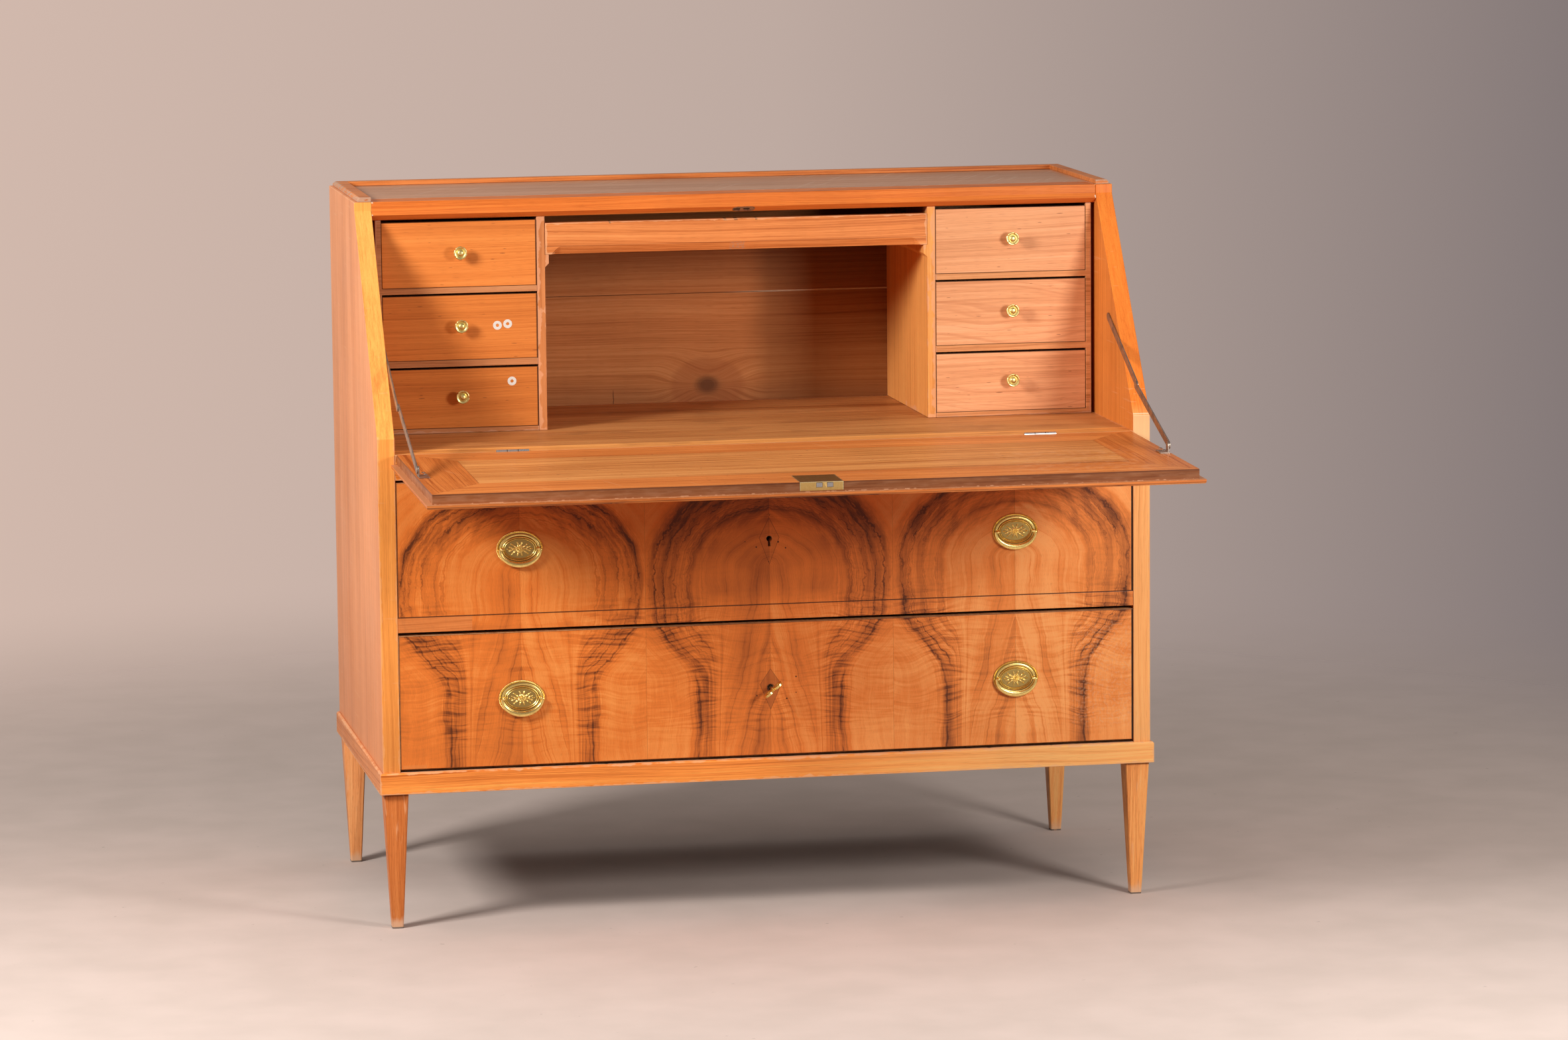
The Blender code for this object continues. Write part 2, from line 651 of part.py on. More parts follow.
def knob_shape():
    """A turned knob on its round base, standing out from the drawer along -Y."""
    rings = []
    for radius_share, height_share in zip(KNOB_RADIUS_SHARES, KNOB_HEIGHT_SHARES):
        radius = KNOB_RADIUS * radius_share
        circle = arc((0, 0), radius, 0, 360 - 360 / KNOB_SEGMENTS, KNOB_SEGMENTS - 1)
        rings.append([(x, -KNOB_HEIGHT * height_share, z) for x, z in circle])
    return loft(rings)


def make_tray(wood):
    """Shallow drawer over the middle compartment, with a stopped chamfer under its front."""
    front = FRONT_Y + INNER_FRONT_BACK
    half = PARTITION_INNER_X - 2 * SEAT_GAP
    tray = drawer_body(
        "tray_drawer",
        (-half, half),
        (TRAY_BOTTOM_Z, TRAY_TOP_Z),
        front,
        SMALL_DEPTH,
        (SMALL_FRONT_THICK + TRAY_CHAMFER_DEPTH, SMALL_SIDE_THICK),
        (SMALL_BOTTOM_THICK, SMALL_BOTTOM_LIFT, TRAY_BOTTOM_Z),
        TRAY_SIDE_DROP,
        wood,
    )
    stop = half - TRAY_STOP_INSET
    steps = len(TRAY_STOP_SHARES) - 1
    run_out = []
    for i, size in enumerate(TRAY_STOP_SHARES):
        run_out.append((stop - TRAY_STOP_LENGTH * (1 - i / steps), size))
    ends = [(-x, size) for x, size in reversed(run_out)] + run_out
    cut(tray, loft([chamfer_ring(x, front, size) for x, size in ends]), "tray_chamfer")


def chamfer_ring(x, front, size):
    """A triangle under the tray drawer's lower front edge."""
    over = CUT_OVERRUN
    tall = TRAY_CHAMFER_HEIGHT * size
    deep = TRAY_CHAMFER_DEPTH * size
    slope = tall / deep
    return [
        (x, front - over, TRAY_BOTTOM_Z - over),
        (x, front + deep + over / slope, TRAY_BOTTOM_Z - over),
        (x, front - over, TRAY_BOTTOM_Z + tall + over * slope),
    ]


def make_large_drawers(wood, brass, steel):
    """The two large drawers with their handles, and the lock and key of the lower one."""
    half = INNER - LARGE_SIDE_GAP
    rows = (
        ("upper", MIDDLE_RAIL_TOP_Z + SEAT_GAP, UPPER_DRAWER_TOP_Z, MIDDLE_RAIL_TOP_Z),
        ("lower", LOWER_DRAWER_BOTTOM_Z, LOWER_DRAWER_TOP_Z, BOTTOM_BOARD_TOP_Z),
    )
    plate = None
    for row, low, high, seat in rows:
        name = f"drawer_{row}"
        drawer = drawer_body(
            name,
            (-half, half),
            (low, high),
            FRONT_Y,
            LARGE_DEPTH,
            (LARGE_FRONT_THICK, LARGE_SIDE_THICK),
            (LARGE_BOTTOM_THICK, LARGE_BOTTOM_LIFT, seat + SEAT_GAP),
            LARGE_SIDE_DROP,
            wood,
        )
        keyhole_z = KEYHOLE_UPPER_Z if row == "upper" else KEYHOLE_LOWER_Z
        hole_y = (FRONT_Y - CUT_OVERRUN, FRONT_Y + LARGE_FRONT_THICK + CUT_OVERRUN)
        hole = rod(KEYHOLE_RADIUS, hole_y[0], hole_y[1], "Y", (0, keyhole_z), SMALL_ROD_SIDES)
        cut(drawer, hole, f"keyhole_{row}")
        half_slot = KEYHOLE_SLOT_WIDTH / 2
        slot_z = (keyhole_z - KEYHOLE_SLOT_LENGTH, keyhole_z)
        cut(drawer, block((-half_slot, half_slot), hole_y, slot_z), f"keyhole_slot_{row}")
        z = HANDLE_UPPER_Z if row == "upper" else HANDLE_LOWER_Z
        for side_name, side in (("left", -1), ("right", 1)):
            place = (side * HANDLE_X, 0, z - drawer.location.z)
            plate = make_handle(f"{row}_{side_name}", place, drawer, plate, brass)
        if row == "lower":
            make_drawer_lock(drawer, keyhole_z - drawer.location.z, steel, brass)


def oval(half_width, half_height, y, segments):
    turns = [2 * math.pi * i / segments for i in range(segments)]
    return [(half_width * math.cos(t), y, half_height * math.sin(t)) for t in turns]


def make_handle(name, place, drawer, first, brass):
    """A stamped oval back plate with two ears, and the bail that hangs between them."""
    if first is None:
        rings = []
        for size, lift in zip(PLATE_SIZE_SHARES, PLATE_LIFT_SHARES):
            y = -SEAT_GAP - PLATE_LIFT * lift
            wide = PLATE_HALF_WIDTH * size
            tall = PLATE_HALF_HEIGHT * size
            rings.append(oval(wide, tall, y, PLATE_SEGMENTS))
        first = (loft_object(rings, brass), bail_mesh(brass))
        plate_mesh = first[0]
        for side in (-1, 1):
            reach = BAIL_PIVOT_X - BAIL_STUB_LENGTH - SEAT_GAP
            x = sorted((side * reach, side * (reach - EAR_LENGTH)))
            ear_y = (-BAIL_PIVOT_OUT - EAR_RADIUS, -SEAT_GAP - PLATE_LIFT * PLATE_LIFT_SHARES[4] / 2)
            ear = block(x, ear_y, (-EAR_RADIUS, EAR_RADIUS))
            join_mesh(plate_mesh, ear)
    place_mesh(f"handle_plate_{name}", first[0], place, drawer)
    pivot = (place[0], place[1] - BAIL_PIVOT_OUT, place[2])
    place_mesh(f"bail_{name}", first[1], pivot, drawer)
    return first


def loft_object(rings, material):
    """The mesh of a loft, shaded smooth."""
    shape = loft(rings)
    bmesh.ops.recalc_face_normals(shape, faces=shape.faces)
    mesh = bpy.data.meshes.new("handle_plate")
    shape.to_mesh(mesh)
    shape.free()
    mesh.shade_smooth()
    mesh.set_sharp_from_angle(angle=math.radians(SMOOTH_DEGREES))
    mesh.materials.append(material)
    return mesh


def join_mesh(mesh, shape):
    """Joins a further body to a shared mesh by a Boolean that is applied at once."""
    carrier = bpy.data.objects.new("joined", mesh)
    bpy.context.scene.collection.objects.link(carrier)
    weld(carrier, shape, "joined_tool")
    bpy.context.view_layer.update()
    graph = bpy.context.evaluated_depsgraph_get()
    whole = bpy.data.meshes.new_from_object(carrier.evaluated_get(graph))
    made = bmesh.new()
    made.from_mesh(whole)
    made.to_mesh(mesh)
    made.free()
    bpy.data.objects.remove(bpy.data.objects["joined_tool"])
    bpy.data.objects.remove(carrier)


def bail_mesh(material):
    """A half-oval grip, broad at the bottom and narrow at its pivots, whose ends turn in to the ears."""
    rings = []
    half_wide = BAIL_PIVOT_X * BAIL_OUT_SHARE
    stub = BAIL_PIVOT_X - BAIL_STUB_LENGTH
    end_size = BAIL_SECTION_WIDTH * BAIL_END_SHARE / 2
    thick = BAIL_SECTION_THICK / 2
    rings.append(stub_ring(-stub))
    for i in range(BAIL_STEPS + 1):
        turn = math.pi * (1 + i / BAIL_STEPS)
        centre = Vector((half_wide * math.cos(turn), BAIL_DROP * math.sin(turn)))
        normal = Vector((math.cos(turn) / half_wide, math.sin(turn) / BAIL_DROP)).normalized()
        size = end_size - (BAIL_SECTION_WIDTH / 2 - end_size) * centre.y / BAIL_DROP
        ring = []
        for k in range(BAIL_SIDES):
            round_turn = 2 * math.pi * (k + 0.5) / BAIL_SIDES
            point = centre + normal * size * math.cos(round_turn)
            ring.append((point.x, thick * math.sin(round_turn), point.y))
        rings.append(ring)
    rings.append(stub_ring(stub))
    return loft_object(rings, material)


def stub_ring(x):
    """The small round end of the bail, square to X."""
    ring = []
    side = 1 if x > 0 else -1
    for k in range(BAIL_SIDES):
        turn = 2 * math.pi * (k + 0.5) / BAIL_SIDES
        ring.append((x, EAR_RADIUS * math.sin(turn), side * EAR_RADIUS * math.cos(turn)))
    return ring


def make_drawer_lock(drawer, z, steel, brass):
    """The lock case behind the lower drawer's front, and the key that stands in it."""
    back = LARGE_FRONT_THICK + SEAT_GAP
    half = DRAWER_LOCK_WIDTH / 2
    tall = DRAWER_LOCK_HEIGHT / 2
    thick = DRAWER_LOCK_THICK
    case = block((-half, half), (back, back + thick), (z - tall, z + tall))
    lock = solid("drawer_lock", case, steel, parent=drawer)
    hole_y = (back - CUT_OVERRUN, back + thick / 2)
    hole = rod(KEY_SHAFT_RADIUS + KEY_ROOM, hole_y[0], hole_y[1], "Y", (0, z), SMALL_ROD_SIDES)
    cut(lock, hole, "drawer_lock_hole")
    room_y = (back + DRAWER_LOCK_WALL, back + thick - DRAWER_LOCK_WALL)
    cut(lock, rod(DRAWER_LOCK_CHAMBER, room_y[0], room_y[1], "Y", (0, z)), "drawer_lock_chamber")
    shaft_end = room_y[1] - KEY_ROOM
    shaft = rod(KEY_SHAFT_RADIUS, -KEY_OUT, shaft_end, "Y", (0, 0), SMALL_ROD_SIDES)
    key = solid("key", shaft, brass)
    key.parent = drawer
    key.location = (0, 0, z)
    key.rotation_euler = (0, -math.radians(KEY_TILT_DEGREES), 0)
    bit_y = (shaft_end - KEY_BIT_LENGTH, shaft_end - KEY_ROOM)
    bit = block((-KEY_BIT_REACH, 0), bit_y, (-KEY_BIT_WIDTH / 2, KEY_BIT_WIDTH / 2))
    weld_on(key, bit, "key_bit")
    half_thick = KEY_BOW_THICK / 2
    for side_name, side in (("a", -1), ("b", 1)):
        centre = (side * KEY_LOBE_OFFSET, -KEY_OUT)
        weld_on(key, disc(centre, KEY_LOBE_RADIUS, half_thick), f"key_lobe_{side_name}")
    for side_name, side in (("a", -1), ("b", 1)):
        centre = (side * KEY_LOBE_OFFSET, -KEY_OUT)
        hole = disc(centre, KEY_LOBE_HOLE, half_thick + CUT_OVERRUN)
        tool = solid(f"key_lobe_hole_{side_name}", hole, brass, parent=None)
        attach(key, tool, "DIFFERENCE")


def disc(centre, radius, half_thick):
    """A flat disc square to Z, its centre given as (x, y)."""
    circle = arc(centre, radius, 0, 360 - 360 / ROD_SIDES, ROD_SIDES - 1)
    return loft([[(x, y, z) for x, y in circle] for z in (-half_thick, half_thick)])


def attach(target, tool, operation):
    """A Boolean with a helper that is a child of its target."""
    combine(target, tool, operation)
    tool.parent = target


def weld_on(target, shape, name):
    tool = solid(name, shape, target.data.materials[0])
    attach(target, tool, "UNION")


def make_hinges(carrier, steel):
    """Two knuckle hinges: a leaf let into the desk board's edge and a leaf let into the fall's edge."""
    outer = HINGE_LENGTH / 2
    inner = HINGE_LENGTH / 6
    places = (("left", HINGE_LEFT_X), ("right", HINGE_RIGHT_X))
    for name, x in places:
        y = FRONT_Y + FRONT_SET_BACK
        leaf = block((x - outer, x + outer), (y, y + LEAF_THICK), (DESK_Z - LEAF_DROP, DESK_Z - LEAF_NECK))
        desk_leaf = solid(f"hinge_desk_leaf_{name}", leaf, steel)
        for side_name, side in (("a", -1), ("b", 1)):
            ends = sorted((x + side * outer, x + side * (inner + KNUCKLE_GAP)))
            neck_z = (DESK_Z - LEAF_NECK - CUT_OVERRUN, DESK_Z)
            weld(desk_leaf, block(ends, (y, y + LEAF_THICK), neck_z), f"desk_neck_{name}_{side_name}")
            knuckle = rod(KNUCKLE_RADIUS, ends[0], ends[1], "X", (FRONT_Y, DESK_Z), SMALL_ROD_SIDES)
            weld(desk_leaf, knuckle, f"desk_knuckle_{name}_{side_name}")
        y = (-FALL_BACK_GAP - LEAF_THICK, -FALL_BACK_GAP)
        leaf = block((x - outer, x + outer), y, (-LEAF_DROP, -LEAF_NECK))
        fall_leaf = solid(f"hinge_fall_leaf_{name}", leaf, steel, parent=carrier)
        ends = (x - inner, x + inner)
        neck = block(ends, y, (-LEAF_NECK - CUT_OVERRUN, 0))
        weld(fall_leaf, neck, f"fall_neck_{name}")
        knuckle = rod(KNUCKLE_RADIUS, ends[0], ends[1], "X", (0, 0), SMALL_ROD_SIDES)
        weld(fall_leaf, knuckle, f"fall_knuckle_{name}")


def lip_ring(inset, lift):
    """The lip's outline at one depth, drawn in on its three free edges."""
    x = FALL_X + LIP_OVERHANG - inset
    near = -FALL_BACK_GAP
    far = -(FALL_LENGTH + LIP_OVERHANG - inset)
    return [(-x, near, lift), (x, near, lift), (x, far, lift), (-x, far, lift)]


def make_fall(carrier, wood):
    """The fall in its carrier's frame: hinge line at the origin, reach along -Y, writing face at z = 0."""
    rings = []
    low = -FALL_THICK - LIP_THICK
    for i in range(LIP_ROUND_STEPS + 1):
        turn = math.pi / 2 * i / LIP_ROUND_STEPS
        inset = LIP_ROUND * (1 - math.sin(turn))
        rise = LIP_ROUND * (1 - math.cos(turn))
        rings.append(lip_ring(inset, low + rise))
    rings.append(lip_ring(0, -FALL_THICK))
    fall = solid("fall", loft(rings), wood, parent=carrier)
    depth = (-FALL_THICK - CUT_OVERRUN, 0)
    weld(fall, block((-FALL_X, FALL_X), (-FALL_LENGTH, -FALL_BACK_GAP), depth), "fall_board")
    half = LOCK_WIDTH / 2 + SEAT_GAP
    x = (LOCK_CENTRE_X - half, LOCK_CENTRE_X + half)
    y = (-FALL_LENGTH - CUT_OVERRUN, -FALL_LENGTH + LOCK_DEPTH + SEAT_GAP)
    cut(fall, block(x, y, (-LOCK_HEIGHT - SEAT_GAP, CUT_OVERRUN)), "fall_lock_room")
    for side, centre in (("left", HINGE_LEFT_X), ("right", HINGE_RIGHT_X)):
        half = HINGE_LENGTH / 2 + KNUCKLE_GAP
        limits = (centre - half, centre + half)
        room = rod(KNUCKLE_RADIUS + KNUCKLE_ROOM, limits[0], limits[1], "X", (0, 0))
        cut(fall, room, f"fall_knuckle_room_{side}")
        y = (-FALL_BACK_GAP - LEAF_THICK - SEAT_GAP, CUT_OVERRUN)
        z = (-LEAF_DROP - SEAT_GAP, CUT_OVERRUN)
        cut(fall, block(limits, y, z), f"fall_leaf_room_{side}")


def bolt_limits(room):
    """Sideways limits over both bolts, with some room round them."""
    half = BOLT_SPACING / 2 + BOLT_WIDTH / 2 + room
    return (BOLT_CENTRE_X - half, BOLT_CENTRE_X + half)


def bolt_centres():
    return (("a", BOLT_CENTRE_X - BOLT_SPACING / 2), ("b", BOLT_CENTRE_X + BOLT_SPACING / 2))


def make_fall_lock(carrier, brass, steel):
    """The lock case let into the fall's free edge, and its pair of bolts on one bar."""
    half = LOCK_WIDTH / 2
    x = (LOCK_CENTRE_X - half, LOCK_CENTRE_X + half)
    y = (-FALL_LENGTH, -FALL_LENGTH + LOCK_DEPTH)
    lock = solid("fall_lock", block(x, y, (-LOCK_HEIGHT, 0)), brass, parent=carrier)
    high = -BOLT_TOP_DROP
    low = high - BOLT_HEIGHT
    tip = -FALL_LENGTH - BOLT_PROUD
    bar_front = tip + BOLT_LENGTH
    bar_back = bar_front + BOLT_BAR_DEPTH
    gap = SEAT_GAP
    room_z = (low - gap, high + gap)
    x0, x1 = bolt_limits(0)
    chamber = block((x0 - gap, x1 + gap), (bar_front - BOLT_TRAVEL - gap, bar_back + gap), room_z)
    cut(lock, chamber, "bolt_chamber")
    bolts = solid("fall_bolts", block((x0, x1), (bar_front, bar_back), (low, high)), steel, parent=carrier)
    for name, centre in bolt_centres():
        side = BOLT_WIDTH / 2
        way = block((centre - side - gap, centre + side + gap), (y[0] - CUT_OVERRUN, bar_front), room_z)
        cut(lock, way, f"bolt_way_{name}")
        stud = block((centre - side, centre + side), (tip, bar_front + CUT_OVERRUN), (low, high))
        weld(bolts, stud, f"bolt_stud_{name}")


def stay_geometry():
    """The stay's four pivots as (y, z), two of them for the elbow open and shut, and its arms' lengths."""
    case = Vector(closed_point(0, STAY_CASE_REACH, STAY_CASE_INSET)[1:])
    hinge = Vector((FRONT_Y, DESK_Z))
    reach = STAY_BRACKET_REACH
    lift = STAY_BRACKET_LIFT
    out = Vector((-math.cos(SAG), -math.sin(SAG)))
    up = Vector((-math.sin(SAG), math.cos(SAG)))
    bracket = hinge + reach * out + lift * up
    total = (case - bracket).length + STAY_SLACK
    rise = case - hinge
    case_reach = rise.x * math.sin(SLOPE) + rise.y * math.cos(SLOPE)
    case_lift = rise.x * math.cos(SLOPE) - rise.y * math.sin(SLOPE)
    drop = case_lift - lift
    spare = total - reach
    elbow_reach = (case_reach**2 + drop**2 - spare**2) / (2 * (case_reach + spare))
    lower = reach - elbow_reach
    upper = math.hypot(case_reach - elbow_reach, drop)
    line = bracket - case
    span = line.length
    foot = (upper**2 - lower**2 + span**2) / (2 * span)
    sag = math.sqrt(upper**2 - foot**2)
    along = line / span
    side = Vector((-along.y, along.x))
    elbow = case + foot * along + sag * side
    folded = hinge + Vector(
        (
            elbow_reach * math.sin(SLOPE) + lift * math.cos(SLOPE),
            elbow_reach * math.cos(SLOPE) - lift * math.sin(SLOPE),
        )
    )
    return case, bracket, elbow, folded, upper, lower


def arm_outline(length):
    """A flat bar with round ends, from one pivot at the origin to the other along +Y."""
    radius = STAY_WIDTH / 2
    return arc((length, 0), radius, -90, 90) + arc((0, 0), radius, 90, 270)


def make_stays(carrier, steel):
    """On each side: the upper arm on the gable, the lower arm on the fall, and the fall's bracket."""
    case, bracket, elbow, _, upper, lower = stay_geometry()
    upper_turn = math.atan2(elbow.y - case.y, elbow.x - case.x)
    lower_turn = math.atan2(elbow.y - bracket.y, elbow.x - bracket.x) - SAG
    for name, side in (("left", -1), ("right", 1)):
        x = sorted((side * ARM_X, side * (ARM_X + STAY_THICK)))
        arm = solid(f"stay_upper_{name}", across(arm_outline(upper), x[0], x[1]), steel)
        boss_x = sorted((side * (ARM_X + STAY_THICK / 2), side * (INNER - SEAT_GAP)))
        boss = rod(STAY_BOSS_RADIUS, boss_x[0], boss_x[1], "X", (0, 0), SMALL_ROD_SIDES)
        weld_on(arm, boss, f"stay_boss_{name}")
        arm.location = (0, case.x, case.y)
        arm.rotation_euler = (upper_turn, 0, 0)
        x = sorted((side * LOWER_ARM_X, side * (LOWER_ARM_X + STAY_THICK)))
        arm = solid(f"stay_lower_{name}", across(arm_outline(lower), x[0], x[1]), steel, parent=carrier)
        arm.location = (0, -STAY_BRACKET_REACH, STAY_BRACKET_LIFT)
        arm.rotation_euler = (lower_turn, 0, 0)
        make_bracket(name, side, carrier, steel)


def make_bracket(name, side, carrier, steel):
    """A foot screwed to the fall and an upright ear that carries the lower arm."""
    x = sorted((side * EAR_X, side * (EAR_X + STAY_THICK)))
    radius = STAY_WIDTH / 2
    ear = arc((0, 0), radius, 0, 180)
    ear += [(-radius, BRACKET_FOOT_THICK / 2 - STAY_BRACKET_LIFT)]
    ear += [(radius, BRACKET_FOOT_THICK / 2 - STAY_BRACKET_LIFT)]
    outline = [(y - STAY_BRACKET_REACH, z + STAY_BRACKET_LIFT) for y, z in ear]
    bracket = solid(f"stay_bracket_{name}", across(outline, x[0], x[1]), steel, parent=carrier)
    inner = EAR_X + STAY_THICK - BRACKET_FOOT_WIDTH
    foot_x = sorted((side * inner, side * (EAR_X + STAY_THICK)))
    half = BRACKET_FOOT_LENGTH / 2
    foot_y = (-STAY_BRACKET_REACH - half, -STAY_BRACKET_REACH + half)
    foot_z = (SEAT_GAP, SEAT_GAP + BRACKET_FOOT_THICK)
    weld(bracket, block(foot_x, foot_y, foot_z), f"bracket_foot_{name}")


def main():
    clear_scene()
    side_wood = finish("side wood", (0.56, 0.22, 0.08), 0.45)
    front_wood = finish("figured wood", (0.50, 0.17, 0.05), 0.35)
    inside_wood = finish("inside wood", (0.68, 0.32, 0.13), 0.5)
    dull_wood = finish("top wood", (0.40, 0.30, 0.24), 0.6)
    brass = finish("brass", (0.60, 0.44, 0.16), 0.3, 1.0)
    steel = finish("steel", (0.35, 0.32, 0.29), 0.4, 1.0)
    make_gables(side_wood)
    make_boards(dull_wood)
    make_cap(dull_wood)
    make_base(side_wood)
    make_legs(side_wood)
    make_top_rail(front_wood)
    make_drawer_rails(front_wood)
    make_partitions(inside_wood)
    make_nests(inside_wood)
    make_small_drawers(inside_wood, brass)
    make_tray(inside_wood)
    make_large_drawers(front_wood, brass, steel)
    carrier = make_empty("fall_carrier", (0, FRONT_Y, DESK_Z), SAG)
    make_fall(carrier, inside_wood)
    make_hinges(carrier, steel)
    make_fall_lock(carrier, brass, steel)
    make_stays(carrier, steel)


main()
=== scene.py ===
import math

import bmesh
import bpy
from mathutils import Matrix, Vector


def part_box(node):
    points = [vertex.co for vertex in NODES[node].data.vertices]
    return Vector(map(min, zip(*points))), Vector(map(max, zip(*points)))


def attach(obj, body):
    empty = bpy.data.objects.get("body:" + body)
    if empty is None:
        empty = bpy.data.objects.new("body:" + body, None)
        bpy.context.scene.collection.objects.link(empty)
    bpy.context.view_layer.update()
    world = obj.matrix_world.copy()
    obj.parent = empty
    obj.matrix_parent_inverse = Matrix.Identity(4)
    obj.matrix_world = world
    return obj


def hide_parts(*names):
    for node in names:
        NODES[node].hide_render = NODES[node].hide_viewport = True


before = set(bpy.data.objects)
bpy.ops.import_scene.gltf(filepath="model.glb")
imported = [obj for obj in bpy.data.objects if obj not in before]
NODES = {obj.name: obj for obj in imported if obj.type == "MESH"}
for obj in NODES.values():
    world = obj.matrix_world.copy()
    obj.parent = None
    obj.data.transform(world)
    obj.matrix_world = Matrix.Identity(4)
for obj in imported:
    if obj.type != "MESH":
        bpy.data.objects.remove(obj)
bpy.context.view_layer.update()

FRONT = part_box("gable_left")[0].y

# Linear colours of the woods, from pale to dark.
SALMON = (0.82, 0.32, 0.135)
GOLDEN = (0.86, 0.32, 0.06)
ORANGE = (0.76, 0.22, 0.032)
REDDISH = (0.62, 0.165, 0.032)
BROWN = (0.52, 0.2, 0.062)
PINE = (0.66, 0.36, 0.16)
PALE_PINE = (0.84, 0.4, 0.19)
DUSTY = (0.6, 0.3, 0.17)
WORN = (0.86, 0.46, 0.24)
INK = (0.035, 0.012, 0.006)
BRASS = (0.98, 0.75, 0.26)
OLD_BRASS = (0.16, 0.088, 0.022)
LOCK_BRASS = (0.72, 0.48, 0.17)
STEEL = (0.46, 0.38, 0.32)
HINGE_STEEL = (0.78, 0.77, 0.75)
HINGE_DARK = (0.14, 0.12, 0.1)
PIN_STEEL = (0.85, 0.84, 0.8)


class Num:
    """A number in a node tree. Arithmetic on it makes Math nodes."""

    def __init__(self, graph, socket):
        self.graph = graph
        self.socket = socket

    def __add__(self, other):
        return self.graph.math("ADD", self, other)

    def __radd__(self, other):
        return self.graph.math("ADD", other, self)

    def __sub__(self, other):
        return self.graph.math("SUBTRACT", self, other)

    def __rsub__(self, other):
        return self.graph.math("SUBTRACT", other, self)

    def __mul__(self, other):
        return self.graph.math("MULTIPLY", self, other)

    def __rmul__(self, other):
        return self.graph.math("MULTIPLY", other, self)

    def __truediv__(self, other):
        return self.graph.math("DIVIDE", self, other)

    def __abs__(self):
        return self.graph.math("ABSOLUTE", self)

    def least(self, other):
        return self.graph.math("MINIMUM", self, other)

    def most(self, other):
        return self.graph.math("MAXIMUM", self, other)

    def root(self):
        return self.graph.math("SQRT", self)


class Graph:
    """A material's node tree, with short calls for the nodes that the materials use."""

    def __init__(self, name, metallic=0, coat=0):
        self.material = bpy.data.materials.new(name)
        self.material.use_nodes = True
        self.tree = self.material.node_tree
        self.shader = self.tree.nodes["Principled BSDF"]
        self.shader.inputs["Metallic"].default_value = metallic
        self.shader.inputs["Coat Weight"].default_value = coat
        self.shader.inputs["Coat Roughness"].default_value = 0.22
        self.shader.inputs["Specular IOR Level"].default_value = 0.5 if metallic else 0.15
        self.places = {}

    def node(self, kind, **settings):
        made = self.tree.nodes.new("ShaderNode" + kind)
        for key, value in settings.items():
            setattr(made, key, value)
        return made

    def feed(self, socket, value):
        if isinstance(value, Num):
            self.tree.links.new(value.socket, socket)
        elif isinstance(value, bpy.types.NodeSocket):
            self.tree.links.new(value, socket)
        elif isinstance(value, tuple) and len(value) == 3 and socket.type == "RGBA":
            socket.default_value = (*value, 1)
        else:
            socket.default_value = value

    def math(self, operation, *values):
        made = self.node("Math", operation=operation)
        for socket, value in zip(made.inputs, values):
            self.feed(socket, value)
        return Num(self, made.outputs[0])

    def axes(self, output):
        """The three numbers of the place on the object, or of its normal there."""
        if output not in self.places:
            coordinates = self.node("TexCoord")
            split = self.node("SeparateXYZ")
            self.feed(split.inputs[0], coordinates.outputs[output])
            self.places[output] = [Num(self, socket) for socket in split.outputs]
        return self.places[output]

    def place(self):
        return self.axes("Object")

    def normal(self):
        return self.axes("Normal")

    def noise(self, u, v=0, w=0, detail=2, roughness=0.5):
        point = self.node("CombineXYZ")
        for socket, value in zip(point.inputs, (u, v, w)):
            self.feed(socket, value)
        made = self.node("TexNoise")
        self.feed(made.inputs["Vector"], point.outputs[0])
        made.inputs["Scale"].default_value = 1
        made.inputs["Detail"].default_value = detail
        made.inputs["Roughness"].default_value = roughness
        return Num(self, made.outputs[0])

    def step(self, value, low, high, start=0, end=1):
        """Goes smoothly from start to end as the value goes from low to high."""
        made = self.node("MapRange", interpolation_type="SMOOTHSTEP")
        for socket, number in zip(made.inputs, (value, low, high, start, end)):
            self.feed(socket, number)
        return Num(self, made.outputs[0])

    def fade(self, value, low, high):
        """1 up to the low value, falling smoothly to 0 at the high one."""
        return self.step(value, low, high, 1, 0)

    def near(self, value, centre, width):
        """1 where the value is at the centre, falling to 0 at that distance from it."""
        return self.fade(abs(value - centre), 0, width)

    def inside(self, value, low, high, soft):
        """1 between the low and the high value, falling to 0 over a soft way beyond them."""
        return self.step(value, low - soft, low) * self.fade(value, high, high + soft)

    def ramp(self, value, stops):
        made = self.node("ValToRGB")
        points = made.color_ramp.elements
        while len(points) < len(stops):
            points.new(0.5)
        for point, (where, colour) in zip(points, stops):
            point.position = where
        for point, (where, colour) in zip(points, stops):
            point.color = (*colour, 1) if isinstance(colour, tuple) else (colour, colour, colour, 1)
        self.feed(made.inputs[0], value)
        return made.outputs[0]

    def mix(self, amount, first, second, blend="MIX"):
        made = self.node("Mix", data_type="RGBA", blend_type=blend)
        self.feed(made.inputs[0], amount)
        self.feed(made.inputs[6], first)
        self.feed(made.inputs[7], second)
        return made.outputs[2]

    def shade(self, colour, factor):
        """The colour made lighter or darker by a number."""
        grey = self.node("CombineColor")
        for socket in grey.inputs:
            self.feed(socket, factor)
        return self.mix(1, colour, grey.outputs[0], "MULTIPLY")

    def finish(self, colour, roughness, relief=None, distance=0.0002, strength=0.5):
        self.feed(self.shader.inputs["Base Color"], colour)
        self.feed(self.shader.inputs["Roughness"], roughness)
        if relief is not None:
            bump = self.node("Bump")
            bump.inputs["Strength"].default_value = strength
            bump.inputs["Distance"].default_value = distance
            self.feed(bump.inputs["Height"], relief)
            self.feed(self.shader.inputs["Normal"], bump.outputs[0])
        return self.material


def begin(name, coat):
    """A new material's graph, and the three numbers of the place on the object."""
    g = Graph(name, coat=coat)
    return (g, *g.place())


